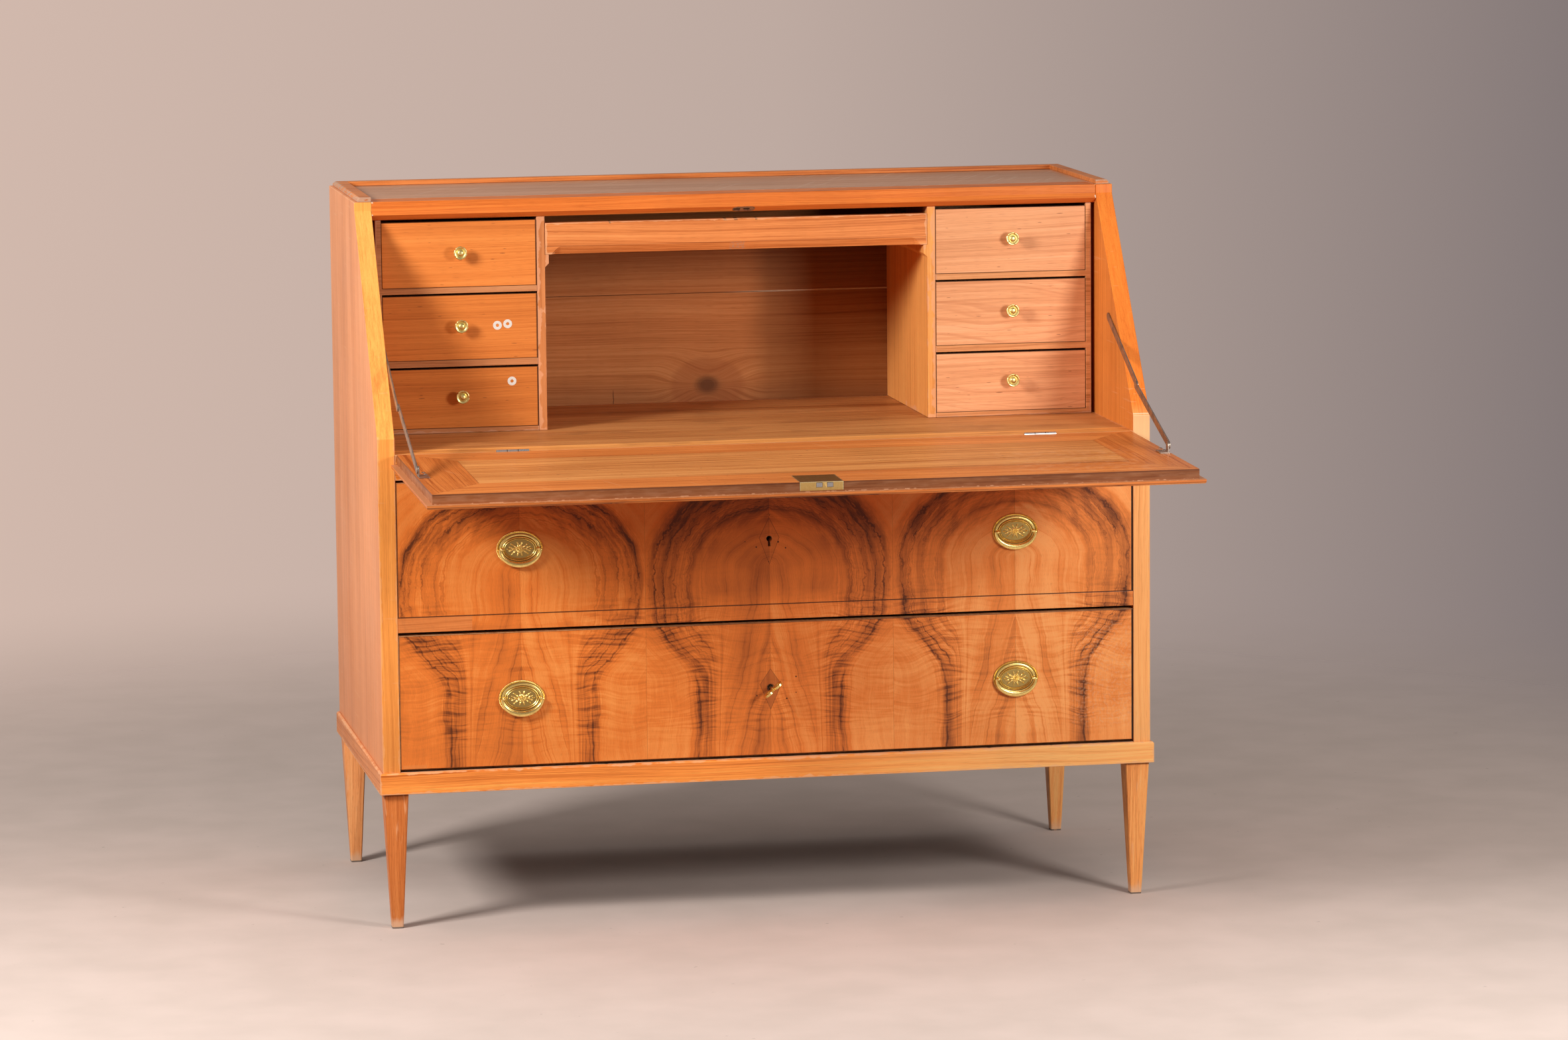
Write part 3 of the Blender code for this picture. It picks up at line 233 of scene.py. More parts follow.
def scaled(colour, shares):
    return tuple(min(part * share, 1) for part, share in zip(colour, shares))


DEEP_SHARES = (0.56, 0.42, 0.32)
PALE_SHARES = (1.22, 1.42, 1.66)


def wood(g, along, across, depth, mean, seed=0, spread=1, width=1):
    """Colour and relief of varnished wood: bands, growth lines, hair lines, fibres and pores."""
    wander = g.noise(along * 1.4 + seed, across * 4, depth * 4)
    place = (across + (wander - 0.5) * 0.035) * width
    broad = g.noise(along * 0.8, place * 15 + seed, depth * 12)
    line = g.noise(along * 1.1 + seed, place * 150, depth * 60, 4, 0.7)
    hair = g.noise(along * 3.5 + seed, place * 620, depth * 260, 2, 0.6)
    fibre = g.noise(along * 14, across * 1700, depth * 900 + seed, 1)
    dash = g.step(g.noise(along * 50, across * 1700, depth * 1700 + seed, 0), 0.62, 0.76)
    tone = (broad - 0.5) * 0.7 + (line - 0.5) * 1.1 + (hair - 0.5) * 0.9 + (fibre - 0.5) * 0.4
    tone = tone * spread + 0.5
    stops = [(0.12, scaled(mean, DEEP_SHARES)), (0.5, mean), (0.88, scaled(mean, PALE_SHARES))]
    colour = g.mix(dash * 0.22, g.ramp(tone, stops), scaled(mean, (0.34, 0.2, 0.14)))
    return colour, fibre * 0.3 + hair * 0.4 - dash * 0.5


def edge_of(value, start, end):
    """The distance of a value from the nearer end."""
    return (value - start).least(end - value)


def edge_way(g, low, high):
    """The distance from the nearest edge of a box, for a point on its faces."""
    first, second, third = [edge_of(*ends) for ends in zip(g.place(), low, high)]
    return first.least(second).most(first.most(second).least(third))


def worn(g, colour, way, reach, tint=WORN, amount=0.8, seed=0):
    """The colour rubbed paler along the edges, and knocked through in places."""
    x, y, z = g.place()
    rough = g.noise(x * 60 + seed, y * 60, z * 60, 3)
    slow = g.noise(x * 9, y * 9 + seed, z * 9)
    limit = (rough - 0.35) * (slow * 2 - 0.2) * reach * 6
    mask = g.fade(way - limit, 0, reach * 0.6)
    return g.mix(mask * amount, colour, tint)


def grimed(g, colour, seed=0, amount=0.35):
    """Slow patches of old polish over the colour."""
    x, y, z = g.place()
    slow = g.noise(x * 5 + seed, y * 5, z * 5, 3)
    return g.shade(colour, (slow - 0.5) * amount + 1)


def along_axes(g, along):
    """The place as numbers along the grain, across it and into it."""
    x, y, z = g.place()
    ways = {"x": (x, z, y), "y": (y, z, x), "z": (z, x, y), "x_flat": (x, y, z), "z_side": (z, y, x)}
    return ways[along]


def board(node, along, mean, seed=0, wear=0.0022, tint=WORN, amount=0.7, spread=1):
    """Gives one board its material, with the grain along an axis and its edges rubbed."""
    g, x, y, z = begin(f"{node}_wood", 0.1)
    colour, relief = wood(g, *along_axes(g, along), mean, seed, spread)
    colour = worn(g, grimed(g, colour, seed), edge_way(g, *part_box(node)), wear, tint, amount, seed)
    rough = g.noise(x * 30, y * 30, z * 30 + seed)
    put(g.finish(colour, rough * 0.25 + 0.38, relief), node)


def put(material, *names):
    for name in names:
        mesh = NODES[name].data
        mesh.materials.clear()
        mesh.materials.append(material)


def soften(width, *names):
    """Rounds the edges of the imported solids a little, as hands and polish do."""
    for name in names:
        weld = NODES[name].modifiers.new("weld", "WELD")
        weld.merge_threshold = 0.00002
        bevel = NODES[name].modifiers.new("soften", "BEVEL")
        bevel.width = width
        bevel.segments = 2
        bevel.limit_method = "ANGLE"
        bevel.angle_limit = math.radians(35)
        bevel.harden_normals = False


# The drawer fronts carry book-matched veneer: arches whose middles lie under the handles and the keyhole.
PITCH = 0.392
ARCH_Z = 0.548
# Streaks by their way out from an arch's middle, as (millimetres, strength).
BANDS = [
    (-60, 0.06), (-34, 0.1), (-26, 0.22), (-18, 0.07), (-8, 0.16), (0, 0.05), (14, 0.04), (22, 0.15),
    (32, 0.14), (40, 0.04), (60, 0.04), (68, 0.15), (78, 0.06), (104, 0.06), (117, 0.15), (131, 0.18),
    (142, 0.2), (155, 0.34), (163, 0.3), (175, 0.42), (186, 0.48), (193, 0.15), (204, 0.04),
]
ZONES = [
    (-70, 0.1), (-40, 0.3), (-20, 0.7), (0, 0.2), (20, 0.25), (34, 0.25), (50, 0.08), (68, 0.2),
    (90, 0.1), (112, 0.7), (135, 0.9), (150, 0.8), (186, 1), (196, 0.4), (206, 0.05),
]
INK_LINES = [
    (-60, 0), (-27.2, 0), (-26, 0.45), (-24.8, 0), (-9.2, 0), (-8, 0.45), (-6.8, 0),
    (20.4, 0), (21.5, 0.5), (22.6, 0), (29.2, 0), (30.4, 0.4), (31.6, 0), (66.4, 0),
    (67.5, 0.35), (68.6, 0), (115.8, 0), (117, 0.28), (118.2, 0), (127.2, 0.35), (128.6, 0),
    (147.8, 0), (149, 0.8), (150.2, 0), (166.6, 0), (168, 0.9), (169.4, 0), (181.2, 0.1),
    (183, 1), (185, 0),
]
STREAK_LOW, STREAK_HIGH = -0.07, 0.23
FIGURE_PALE = (0.98, 0.425, 0.13)
FIGURE_MEAN = (0.84, 0.268, 0.058)
FIGURE_BROWN = (0.44, 0.133, 0.034)
FIGURE_DARK = (0.13, 0.04, 0.016)
FIGURE_BLACK = (0.045, 0.016, 0.009)


def profile(g, value, stops):
    """A number that follows the stops between the lowest and the highest streak."""
    span = STREAK_HIGH - STREAK_LOW
    points = [((where / 1000 - STREAK_LOW) / span, dark) for where, dark in stops]
    return g.math("ADD", g.ramp((value - STREAK_LOW) / span, points), 0)


def figure(g, x, z):
    """Colour and relief of the walnut figure on the fronts, at x and the height z."""
    leaf = g.math("ROUND", x / PITCH)
    side = x - leaf * PITCH
    t = abs(side)
    slow = g.noise(t * 7, z * 7, leaf * 0.35, 2)
    quick = g.noise(t * 30, z * 24, leaf * 0.5 + 7, 2)
    jag = g.noise(t * 85, z * 60, leaf * 0.7 + 2, 4, 0.62)
    rise = (z - ARCH_Z).most(0) / 0.75
    fall = ((0.49 - z) / 0.24).most(0).least(1.15)
    spread = g.step(z, 0.37, 0.475, 0.072, 0)
    outer = g.step(t, 0.07, 0.1)
    s = (t * t + rise * rise).root() + outer * spread - (1 - outer) * fall * 0.054
    s = s + (slow - 0.5) * 0.034 + (quick - 0.5) * 0.012
    rough = g.step(z, 0.35, 0.41) * g.step(s, 0.09, 0.14)
    ink_s = s + (jag - 0.5) * (rough * 0.018 + 0.004)
    patch = g.noise(s * 80, z * 6 + t * 4, leaf * 0.8 + 3, 3, 0.6)
    broken = g.noise(t * 16, z * 16, leaf * 0.9 + 13, 3, 0.6)
    fine = g.noise(s * 600, z * 6 + t * 6, leaf * 2, 3, 0.6)
    curl = g.noise(t * 20, z * 240 + (slow - 0.5) * 16, leaf * 0.6 + 11, 2)
    burl = g.noise(t * 42 + s * 40, z * 22, leaf + 5, 3, 0.65)
    zone = profile(g, s, ZONES)
    thin = g.step(g.noise(ink_s * 250, z * 4 + t * 4, leaf * 1.3 + 17, 2), 0.54, 0.66)
    dark = profile(g, s, BANDS) * g.step(patch, 0.26, 0.66, 0.35, 1.1) + thin * zone * 0.2
    lines = profile(g, ink_s, INK_LINES) * g.step(broken, 0.36, 0.58, 0.08, 0.55)
    burl_zone = g.step(z, 0.545, 0.615) * g.inside(s, 0.1, 0.19, 0.02)
    dark = dark + burl_zone * g.step(burl, 0.34, 0.66, 0, 0.26)
    low = g.step(z, 0.25, 0.31) * g.step(z, 0.46, 0.52, 1, 0.12)
    curl_zone = low * (g.step(t, 0.03, 0.08) * 0.65 + zone * 0.55)
    across = g.ramp(x + 0.6, [(0.05, 0.12), (0.33, 0), (0.57, 0.13), (0.8, 0)])
    dark = dark + g.math("ADD", across, -0.03) * g.fade(z, 0.46, 0.5)
    dark = dark + lines + (fine - 0.5) * (zone * 0.26 + 0.22) + (patch - 0.5) * 0.22
    dark = dark + curl_zone * ((curl - 0.5) * 0.55)
    dark = dark + g.step(curl, 0.5, 0.64) * zone * low * 0.24
    # Painted shade: the middle arch is darkened within 0.1 to 0.21 of the middle and above z 0.46 to
    # 0.53, where the fall's shadow lies on the upper drawer.
    head = g.fade(abs(x), 0.1, 0.21) * g.step(z, 0.46, 0.53)
    dark = dark + head * (g.noise(t * 12, z * 9, 21, 3) * 0.5 + 0.02)
    beside = g.fade(t, 0.02, 0.085)
    dark = dark + g.step(side, -0.0004, 0.0004, 0.08, -0.08) * beside
    dark = dark + (slow - 0.5) * 0.5 + (broken - 0.5) * 0.26
    stops = [(0, FIGURE_PALE), (0.22, FIGURE_MEAN), (0.62, FIGURE_BROWN), (1, FIGURE_DARK)]
    colour = g.ramp(dark + 0.1, stops)
    tints = [(0, (0.92, 0.76, 0.58)), (0.55, (0.97, 0.8, 0.7)), (1, (1.06, 1.04, 1.12))]
    colour = g.mix(1, colour, g.ramp(g.step(x, -0.35, 0.5), tints), "MULTIPLY")
    seam = g.near(t, 0, 0.0006).most(g.near(t, PITCH / 2, 0.0006))
    colour = g.mix(seam * 0.3, colour, FIGURE_BLACK)
    pore = g.step(g.noise(t * 1900, z * 130, leaf + 9, 1), 0.56, 0.74)
    colour = g.mix(pore * 0.16, colour, FIGURE_BLACK)
    return colour, fine * 0.4 - pore * 0.6


def kite(g, colour, x, z, top, middle, bottom, half, strength):
    """A small inlaid kite round a keyhole, with its own upright grain and a fine dark line round it."""
    upper = (z - top) / (middle - top)
    lower = (z - bottom) / (middle - bottom)
    way = upper.least(lower) * half - abs(x)
    grain = g.noise(x * 700, z * 12, 3, 2)
    own = g.ramp(grain, [(0.3, (0.34, 0.085, 0.022)), (0.7, (0.56, 0.155, 0.036))])
    colour = g.mix(g.step(way, -0.0002, 0.0003) * strength, colour, own)
    return g.mix(g.near(way, 0, 0.0008) * 0.6, colour, FIGURE_BLACK)


# Small worm holes in the drawer fronts: (x, z, radius) in millimetres.
WORM_HOLES = [
    (-38.2, 588.4, 1.1), (-20.5, 579.4, 1.6), (14.2, 586.5, 1.8), (25.7, 576.7, 1.5), (40.6, 373.3, 1.6),
    (-21.8, 345.3, 1.5), (25.6, 339.2, 1.6), (40.4, 348.1, 1.1), (1, 629, 1), (-1, 556, 0.9),
]
KEYHOLE_Z = (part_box("key")[0].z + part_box("key")[1].z) / 2


def large_drawer(name, kite_shape, seed):
    g, x, y, z = begin(f"{name}_veneer", 0.16)
    low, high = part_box(name)
    front, relief = figure(g, x, z)
    front = kite(g, front, x, z, *kite_shape)
    if name == "drawer_lower":
        craze = g.noise(x * 260, z * 260, seed, 2)
        zone = g.step(x, 0.45, 0.52) * g.inside(z, 0.29, 0.43, 0.03)
        front = g.mix(zone * g.step(craze, 0.52, 0.6) * 0.22, front, (0.82, 0.5, 0.3))
        rim = (x * x + (z - KEYHOLE_Z) * (z - KEYHOLE_Z)).root()
        front = g.mix(g.fade(rim, 0.0052, 0.0066) * 0.85, front, (0.05, 0.02, 0.01))
        repair = g.inside(x, low.x + 0.004, low.x + 0.04, 0.0006)
        repair = repair * g.inside(z, low.z, low.z + 0.01, 0.0006)
        front = g.mix(repair * 0.55, front, (0.72, 0.24, 0.06))
    for hole in WORM_HOLES:
        hole_x, hole_z, radius = [length / 1000 for length in hole]
        if low.z < hole_z < high.z:
            away = ((x - hole_x) * (x - hole_x) + (z - hole_z) * (z - hole_z)).root()
            front = g.mix(g.step(away, radius * 0.6, radius, 0.9, 0), front, (0.02, 0.008, 0.005))
    front = grimed(g, front, seed, 0.2)
    edge_x = edge_of(x, low.x, high.x)
    edge_z = edge_of(z, low.z, high.z)
    line = g.fade(edge_x, 0.0009, 0.0016).most(g.fade(edge_z, 0.0006, 0.0012))
    front = g.mix(line * 0.85, front, (0.05, 0.014, 0.007))
    # Painted shadow: a near-black band over the last 2.3 to 2.8 mm of the front's right end, for the
    # shaded gap beside the drawer.
    front = g.mix(g.step(x, high.x - 0.0028, high.x - 0.0023), front, (0.006, 0.004, 0.003))
    pine, _ = wood(g, *along_axes(g, "y"), PINE, seed, 0.7)
    mask = g.fade(g.normal()[1], -0.6, -0.4) * g.fade(y, FRONT + 0.004, FRONT + 0.006)
    colour = g.mix(mask, pine, front)
    gloss = g.noise(x * 12, z * 12, seed, 3)
    return g.finish(colour, mask * -0.18 + gloss * 0.22 + 0.42, relief, 0.00015)


def gable(name, side):
    """Fine salmon grain outside, golden front edges and a redder inner face."""
    g, x, y, z = begin(f"{name}_wood", 0.12)
    nx, ny, nz = g.normal()
    outer, relief = wood(g, z, y, x, SALMON, 1 + side, 0.55)
    inner, _ = wood(g, z, y, x, scaled(REDDISH, (1.1, 1.32, 1.25)), 4 + side, 0.8)
    stile, _ = wood(g, z, x, y * 0.3, scaled(GOLDEN, (1.1, 1.12, 1.25)), 7 + side, 0.6)
    if side > 0:
        # Painted light and shade: the right gable's front edge is paler and pinker below z 0.745 and
        # redder and darker above z 0.79.
        low_tint, high_tint = (1.1, 1.32, 2.1), (0.9, 0.58, 0.34)
        tint = g.ramp(g.step(z, 0.745, 0.79), [(0, low_tint), (1, high_tint)])
        stile = g.mix(1, stile, tint, "MULTIPLY")
    colour = g.mix(g.fade(nx * side, -0.6, -0.4), outer, inner)
    colour = g.mix(g.fade(ny, -0.5, -0.3), colour, stile)
    if side < 0:
        colour = g.mix(g.step(z, 0.25, 0.6, 0.16, 0), colour, (0.7, 0.2, 0.05))
    if side > 0:
        block = g.inside(z, 0.725, 0.767, 0.0006) * g.fade(ny, -0.5, -0.3)
        colour = g.mix(block * 0.75, colour, (0.88, 0.52, 0.26))
        line = g.near(z, 0.769, 0.0012) * g.fade(ny, -0.5, -0.3)
        colour = g.mix(line * 0.8, colour, (0.95, 0.72, 0.48))
    colour = worn(g, grimed(g, colour, side), edge_way(g, *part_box(name)), 0.0016, WORN, 0.35, side)
    scratch = g.step(g.noise(x * 40, y * 9 + z * 5, z * 300, 1), 0.7, 0.76)
    colour = g.mix(scratch * 0.25, colour, WORN)
    gloss = g.noise(x * 9, y * 9, z * 9, 3)
    return g.finish(colour, gloss * 0.25 + 0.36, relief, 0.00015)


FIELD_X = 0.497
FIELD_BACK, FIELD_FRONT = 0.085, 0.322
LID_MEAN = (0.64, 0.243, 0.066)
LID_SIDE = (0.67, 0.205, 0.046)
DESK_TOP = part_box("desk_board")[1].z
SAG = math.radians(1)
LIP_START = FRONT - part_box("fall")[0].y - 0.009


def fall_board():
    """The fall: its inner face in a mitred frame, worn rebates with dust and painted shade, and walnut
    figure outside.
    """
    g, x, y, z = begin("fall_wood", 0.12)
    nx, ny, nz = g.normal()
    ahead = FRONT - y
    field, relief = wood(g, x, y, z, LID_MEAN, 2, 1.7)
    rail, _ = wood(g, x, y, z, LID_SIDE, 5, 1.5)
    stile, _ = wood(g, y, x, z, scaled(LID_SIDE, (0.84, 0.76, 0.68)), 8, 1.3)
    out_x = abs(x) - FIELD_X
    out_y = (g.math("SUBTRACT", FIELD_BACK, ahead)).most(ahead - FIELD_FRONT)
    ring = g.mix(g.step(out_x - out_y * 0.85, -0.0004, 0.0004), rail, stile)
    out = out_x.most(out_y)
    top = g.mix(g.step(out, -0.0003, 0.0003), field, ring)
    joint = g.near(out, 0, 0.0009) * 0.45
    mitre = g.near(out_x - out_y * 0.85, 0, 0.0009) * g.step(out, 0, 0.002) * 0.6
    top = g.mix(joint.most(mitre), top, (0.1, 0.03, 0.012))
    scratches = g.step(g.noise(x * 3.5, y * 260 + x * 12, 4, 2), 0.66, 0.72)
    cross = g.step(g.noise(x * 190 + y * 60, y * 5, 8, 1), 0.7, 0.75)
    top = g.mix((scratches * 0.35).most(cross * 0.22), top, (0.84, 0.48, 0.26))
    patch = g.inside(x, 0.33, 0.5, 0.05) * g.inside(ahead, 0.2, 0.38, 0.05)
    rubbed = g.step(g.noise(x * 70, y * 70, 2, 3), 0.46, 0.62)
    top = g.mix(patch * rubbed * 0.18, top, (0.8, 0.44, 0.24))
    spots = g.step(g.noise(x * 110, y * 110, 6, 1), 0.72, 0.78)
    top = g.mix(spots * 0.5, top, (0.09, 0.03, 0.015))
    out_figure, _ = figure(g, x, ahead * 0.9 + 0.29)
    under = DESK_TOP - ahead * math.tan(SAG) - z
    dust_and_shade, _ = wood(g, x, y, z, (0.3, 0.098, 0.034), 3, 1.2)
    haze = g.noise(x * 34, y * 34, z * 170, 3)
    dust_and_shade = g.mix(g.step(haze, 0.42, 0.72) * 0.34, dust_and_shade, (0.5, 0.235, 0.125))
    # Painted shade: the rebate and the front edge above the lip are at 0.74 of their colour right of x
    # -0.45 to -0.15.
    dust_and_shade = g.shade(dust_and_shade, g.step(x, -0.45, -0.15, 1, 0.74))
    # Painted shadow: a dark line along the top of the rebate face, just under the top's edge.
    dust_and_shade = g.mix(g.near(under, 0.001, 0.0024) * 0.8, dust_and_shade, (0.12, 0.036, 0.015))
    dashes = g.step(g.noise(x * 150, y * 150, z * 20, 3), 0.52, 0.64)
    dashes = dashes * g.near(under, 0.015, 0.0015)
    dust_and_shade = g.mix(dashes * 0.6, dust_and_shade, (0.8, 0.5, 0.31))
    lip, _ = wood(g, x, y, z, (0.62, 0.18, 0.042), 6, 0.8)
    lip = g.mix(g.near(under, 0.019, 0.0009) * 0.65, lip, (0.1, 0.026, 0.01))
    dust_and_shade = g.mix(g.step(under, 0.015, 0.0156), dust_and_shade, lip)
    ledge = g.inside(ahead, LIP_START - 0.0005, LIP_START + 0.0095, 0.0005)
    ledge = ledge.most(g.step(abs(x), 0.5798, 0.5803))
    top = g.mix(ledge * g.step(under, 0.008, 0.01), top, (0.5, 0.2, 0.085))
    colour = g.mix(g.step(nz, 0.3, 0.6), dust_and_shade, top)
    colour = g.mix(g.fade(nz, -0.6, -0.4), colour, out_figure)
    colour = grimed(g, colour, 3)
    gloss = g.noise(x * 14, y * 14, z, 3)
    return g.finish(colour, gloss * 0.3 + 0.3, relief, 0.00015)


def desk_top():
    """The fixed part of the writing surface: brown at the back, with a golden strip at the front."""
    g, x, y, z = begin("desk_board_wood", 0.1)
    back, relief = wood(g, x, y, z, (0.53, 0.212, 0.062), 1, 1.7)
    strip, _ = wood(g, x, y, z, (0.82, 0.335, 0.088), 6, 1.5)
    colour = g.mix(g.step(y, FRONT + 0.054, FRONT + 0.0545), strip, back)
    colour = g.mix(g.near(y, FRONT + 0.054, 0.0009) * 0.7, colour, INK)
    dirt = g.step(g.noise(x * 10, y * 14, 3, 3), 0.52, 0.72)
    colour = g.mix(dirt * 0.3, colour, (0.16, 0.055, 0.022))
    scratches = g.step(g.noise(x * 6, y * 240, 4, 2), 0.67, 0.72)
    colour = g.mix(scratches * 0.3, colour, DUSTY)
    colour = worn(g, colour, edge_way(g, *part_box("desk_board")), 0.002, WORN, 0.6, 2)
    return g.finish(colour, g.noise(x * 20, y * 20, 1) * 0.3 + 0.35, relief, 0.00015)


def middle_rail():
    """The rail between the large drawers, veneered as they are, with a paler patch at its left end."""
    g, x, y, z = begin("middle_rail_veneer", 0.14)
    front, relief = figure(g, x, z)
    patch, _ = wood(g, x, z, y, (0.7, 0.225, 0.06), 2, 0.7)
    front = g.mix(g.fade(x, -0.468, -0.467) * 0.85, front, patch)
    body, _ = wood(g, x, y, z, PINE, 1, 0.7)
    colour = g.mix(g.step(y, FRONT + 0.004, FRONT + 0.006), front, body)
    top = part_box("middle_rail")[1].z
    colour = g.mix(g.step(z, top - 0.001, top - 0.0005) * 0.8, colour, (0.05, 0.014, 0.007))
    return g.finish(colour, 0.45, relief, 0.00015)


# Each leg's mean colour: the front left leg darker and the other three paler, painted shade and painted
# light for how the lamps reach each leg.
LEG_MEANS = {
    "leg_front_left": (0.6, 0.17, 0.038),
    "leg_front_right": (0.98, 0.385, 0.112),
    "leg_back_left": (0.88, 0.335, 0.112),
    "leg_back_right": (0.98, 0.385, 0.116),
}


def base_front():
    """The front length of the base moulding: orange, paler and pinker towards its right end."""
    g, x, y, z = begin("base_moulding_front_wood", 0.1)
    colour, relief = wood(g, x, z, y, (0.98, 0.305, 0.056), 5, 1)
    right, _ = wood(g, x, z, y, (1, 0.45, 0.14), 6, 0.8)
    colour = g.mix(g.step(x, -0.05, 0.45), colour, right)
    edge = edge_way(g, *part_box("base_moulding_front"))
    colour = worn(g, grimed(g, colour, 5), edge, 0.0022, WORN, 0.6, 5)
    return g.finish(colour, g.noise(x * 30, y * 30, z * 30) * 0.25 + 0.38, relief)


def leg(name, seed):
    g, x, y, z = begin(f"{name}_wood", 0.1)
    mean = LEG_MEANS[name]
    colour, relief = wood(g, z, x, y, mean, seed, 0.9)
    foot = g.noise(x * 90, y * 90, z * 40 + seed, 3)
    colour = g.mix(g.step(z + (foot - 0.5) * 0.03, 0.005, 0.022, 0.75, 0), colour, (0.8, 0.5, 0.32))
    colour = g.mix(g.step(z, 0.208, 0.2125) * 0.6, colour, INK)
    glide = g.fade(z, 0.0024, 0.0026)
    colour = g.mix(glide * 0.9, colour, (0.16, 0.14, 0.12))
    rubbed = g.step(g.noise(x * 120, y * 120, z * 18 + seed, 2), 0.64, 0.74)
    colour = g.mix(rubbed * 0.4, colour, WORN)
    return g.finish(colour, g.noise(x * 40, y * 40, z * 12) * 0.25 + 0.38, relief, 0.00015)


def small_drawer(name, seed):
    """Pine fronts: orange and darker to the left, paler and pinker to the right."""
    g, x, y, z = begin(f"{name}_wood", 0.08)
    low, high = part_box(name)
    left = "left" in name
    row = int(name[-1])
    # Painted shade: on the left, the lower the row, the darker its front, for the left gable's shadow.
    mean = scaled((0.78, 0.235, 0.05), (0.76 + 0.065 * row, 0.76 + 0.07 * row, 0.66 + 0.09 * row))
    if not left:
        mean = (0.83, 0.385, 0.182)
    ringy = name.endswith(("right_1", "right_2"))
    front, relief = wood(g, x, z, y, mean, seed, 0.62 if ringy else 0.55, 0.62 if ringy else 1)
    if ringy:
        rings = g.noise(x * 1.5, z * 230 + (g.noise(x * 3, z * 9, seed) - 0.5) * 20, seed, 1)
        front = g.mix(g.step(rings, 0.5, 0.68) * 0.34, front, scaled(mean, (0.66, 0.5, 0.42)))
    side, _ = wood(g, y, z, x, PALE_PINE, seed + 1, 0.7)
    fleck = g.step(g.noise(x * 60, z * 420, seed, 0), 0.8, 0.86)
    front = g.mix(fleck * 0.6, front, (0.16, 0.045, 0.018))
    edge_x = edge_of(x, low.x, high.x)
    edge_z = edge_of(z, low.z, high.z)
    gap = 0.0018 if left else 0.0008
    line = g.fade(edge_x, 0.0005, 0.001).most(g.fade(edge_z, 0.0005, 0.0011))
    line = line.most(g.step(x, high.x - gap - 0.0004, high.x - gap))
    front = g.mix(line * 0.8, front, (0.04, 0.012, 0.006))
    colour = g.mix(g.step(y, low.y + 0.0085, low.y + 0.0095), grimed(g, front, seed, 0.22), side)
    return g.finish(colour, g.noise(x * 20, z * 20, seed) * 0.25 + 0.42, relief, 0.00015)


# Chips out of the tray's upper edge: (x, half width).
TRAY_CHIPS = [(-0.0191, 0.0022), (-0.002, 0.003), (0.0311, 0.0018), (-0.204, 0.0015)]


def tray_front():
    """The tray: a thin line along its lower band, chips in its upper edge and a grey smear."""
    g, x, y, z = begin("tray_drawer_wood", 0.1)
    low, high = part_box("tray_drawer")
    colour, relief = wood(g, x, z, y, (0.76, 0.25, 0.068), 8, 1.1)
    for chip_x, half in TRAY_CHIPS:
        away = (abs(x - chip_x) / half).most(abs(z - high.z) / 0.0028)
        rough = g.noise(x * 900, z * 900, 2)
        chip = g.step(away + (rough - 0.5) * 0.8, 0.8, 1.1, 0.85, 0)
        colour = g.mix(chip, colour, (0.05, 0.02, 0.012))
    smear = g.inside(x, -0.01, 0.011, 0.003) * g.inside(z, 1.0205, 1.0325, 0.002)
    rubbed = g.step(g.noise(x * 260, z * 700, 5, 2), 0.46, 0.6)
    colour = g.mix(smear * rubbed * 0.45, colour, (0.4, 0.31, 0.25))
    line = g.near(z, low.z + 0.0128, 0.0008) * g.fade(y, low.y + 0.02, low.y + 0.021)
    colour = g.mix(line * 0.45, colour, (0.14, 0.04, 0.016))
    colour = worn(g, grimed(g, colour, 8), edge_way(g, low, high), 0.0016, WORN, 0.6, 8)
    return g.finish(colour, g.noise(x * 30, y * 30, z * 30) * 0.25 + 0.38, relief)


KNOT_X, KNOT_Z = 0.006, 0.769


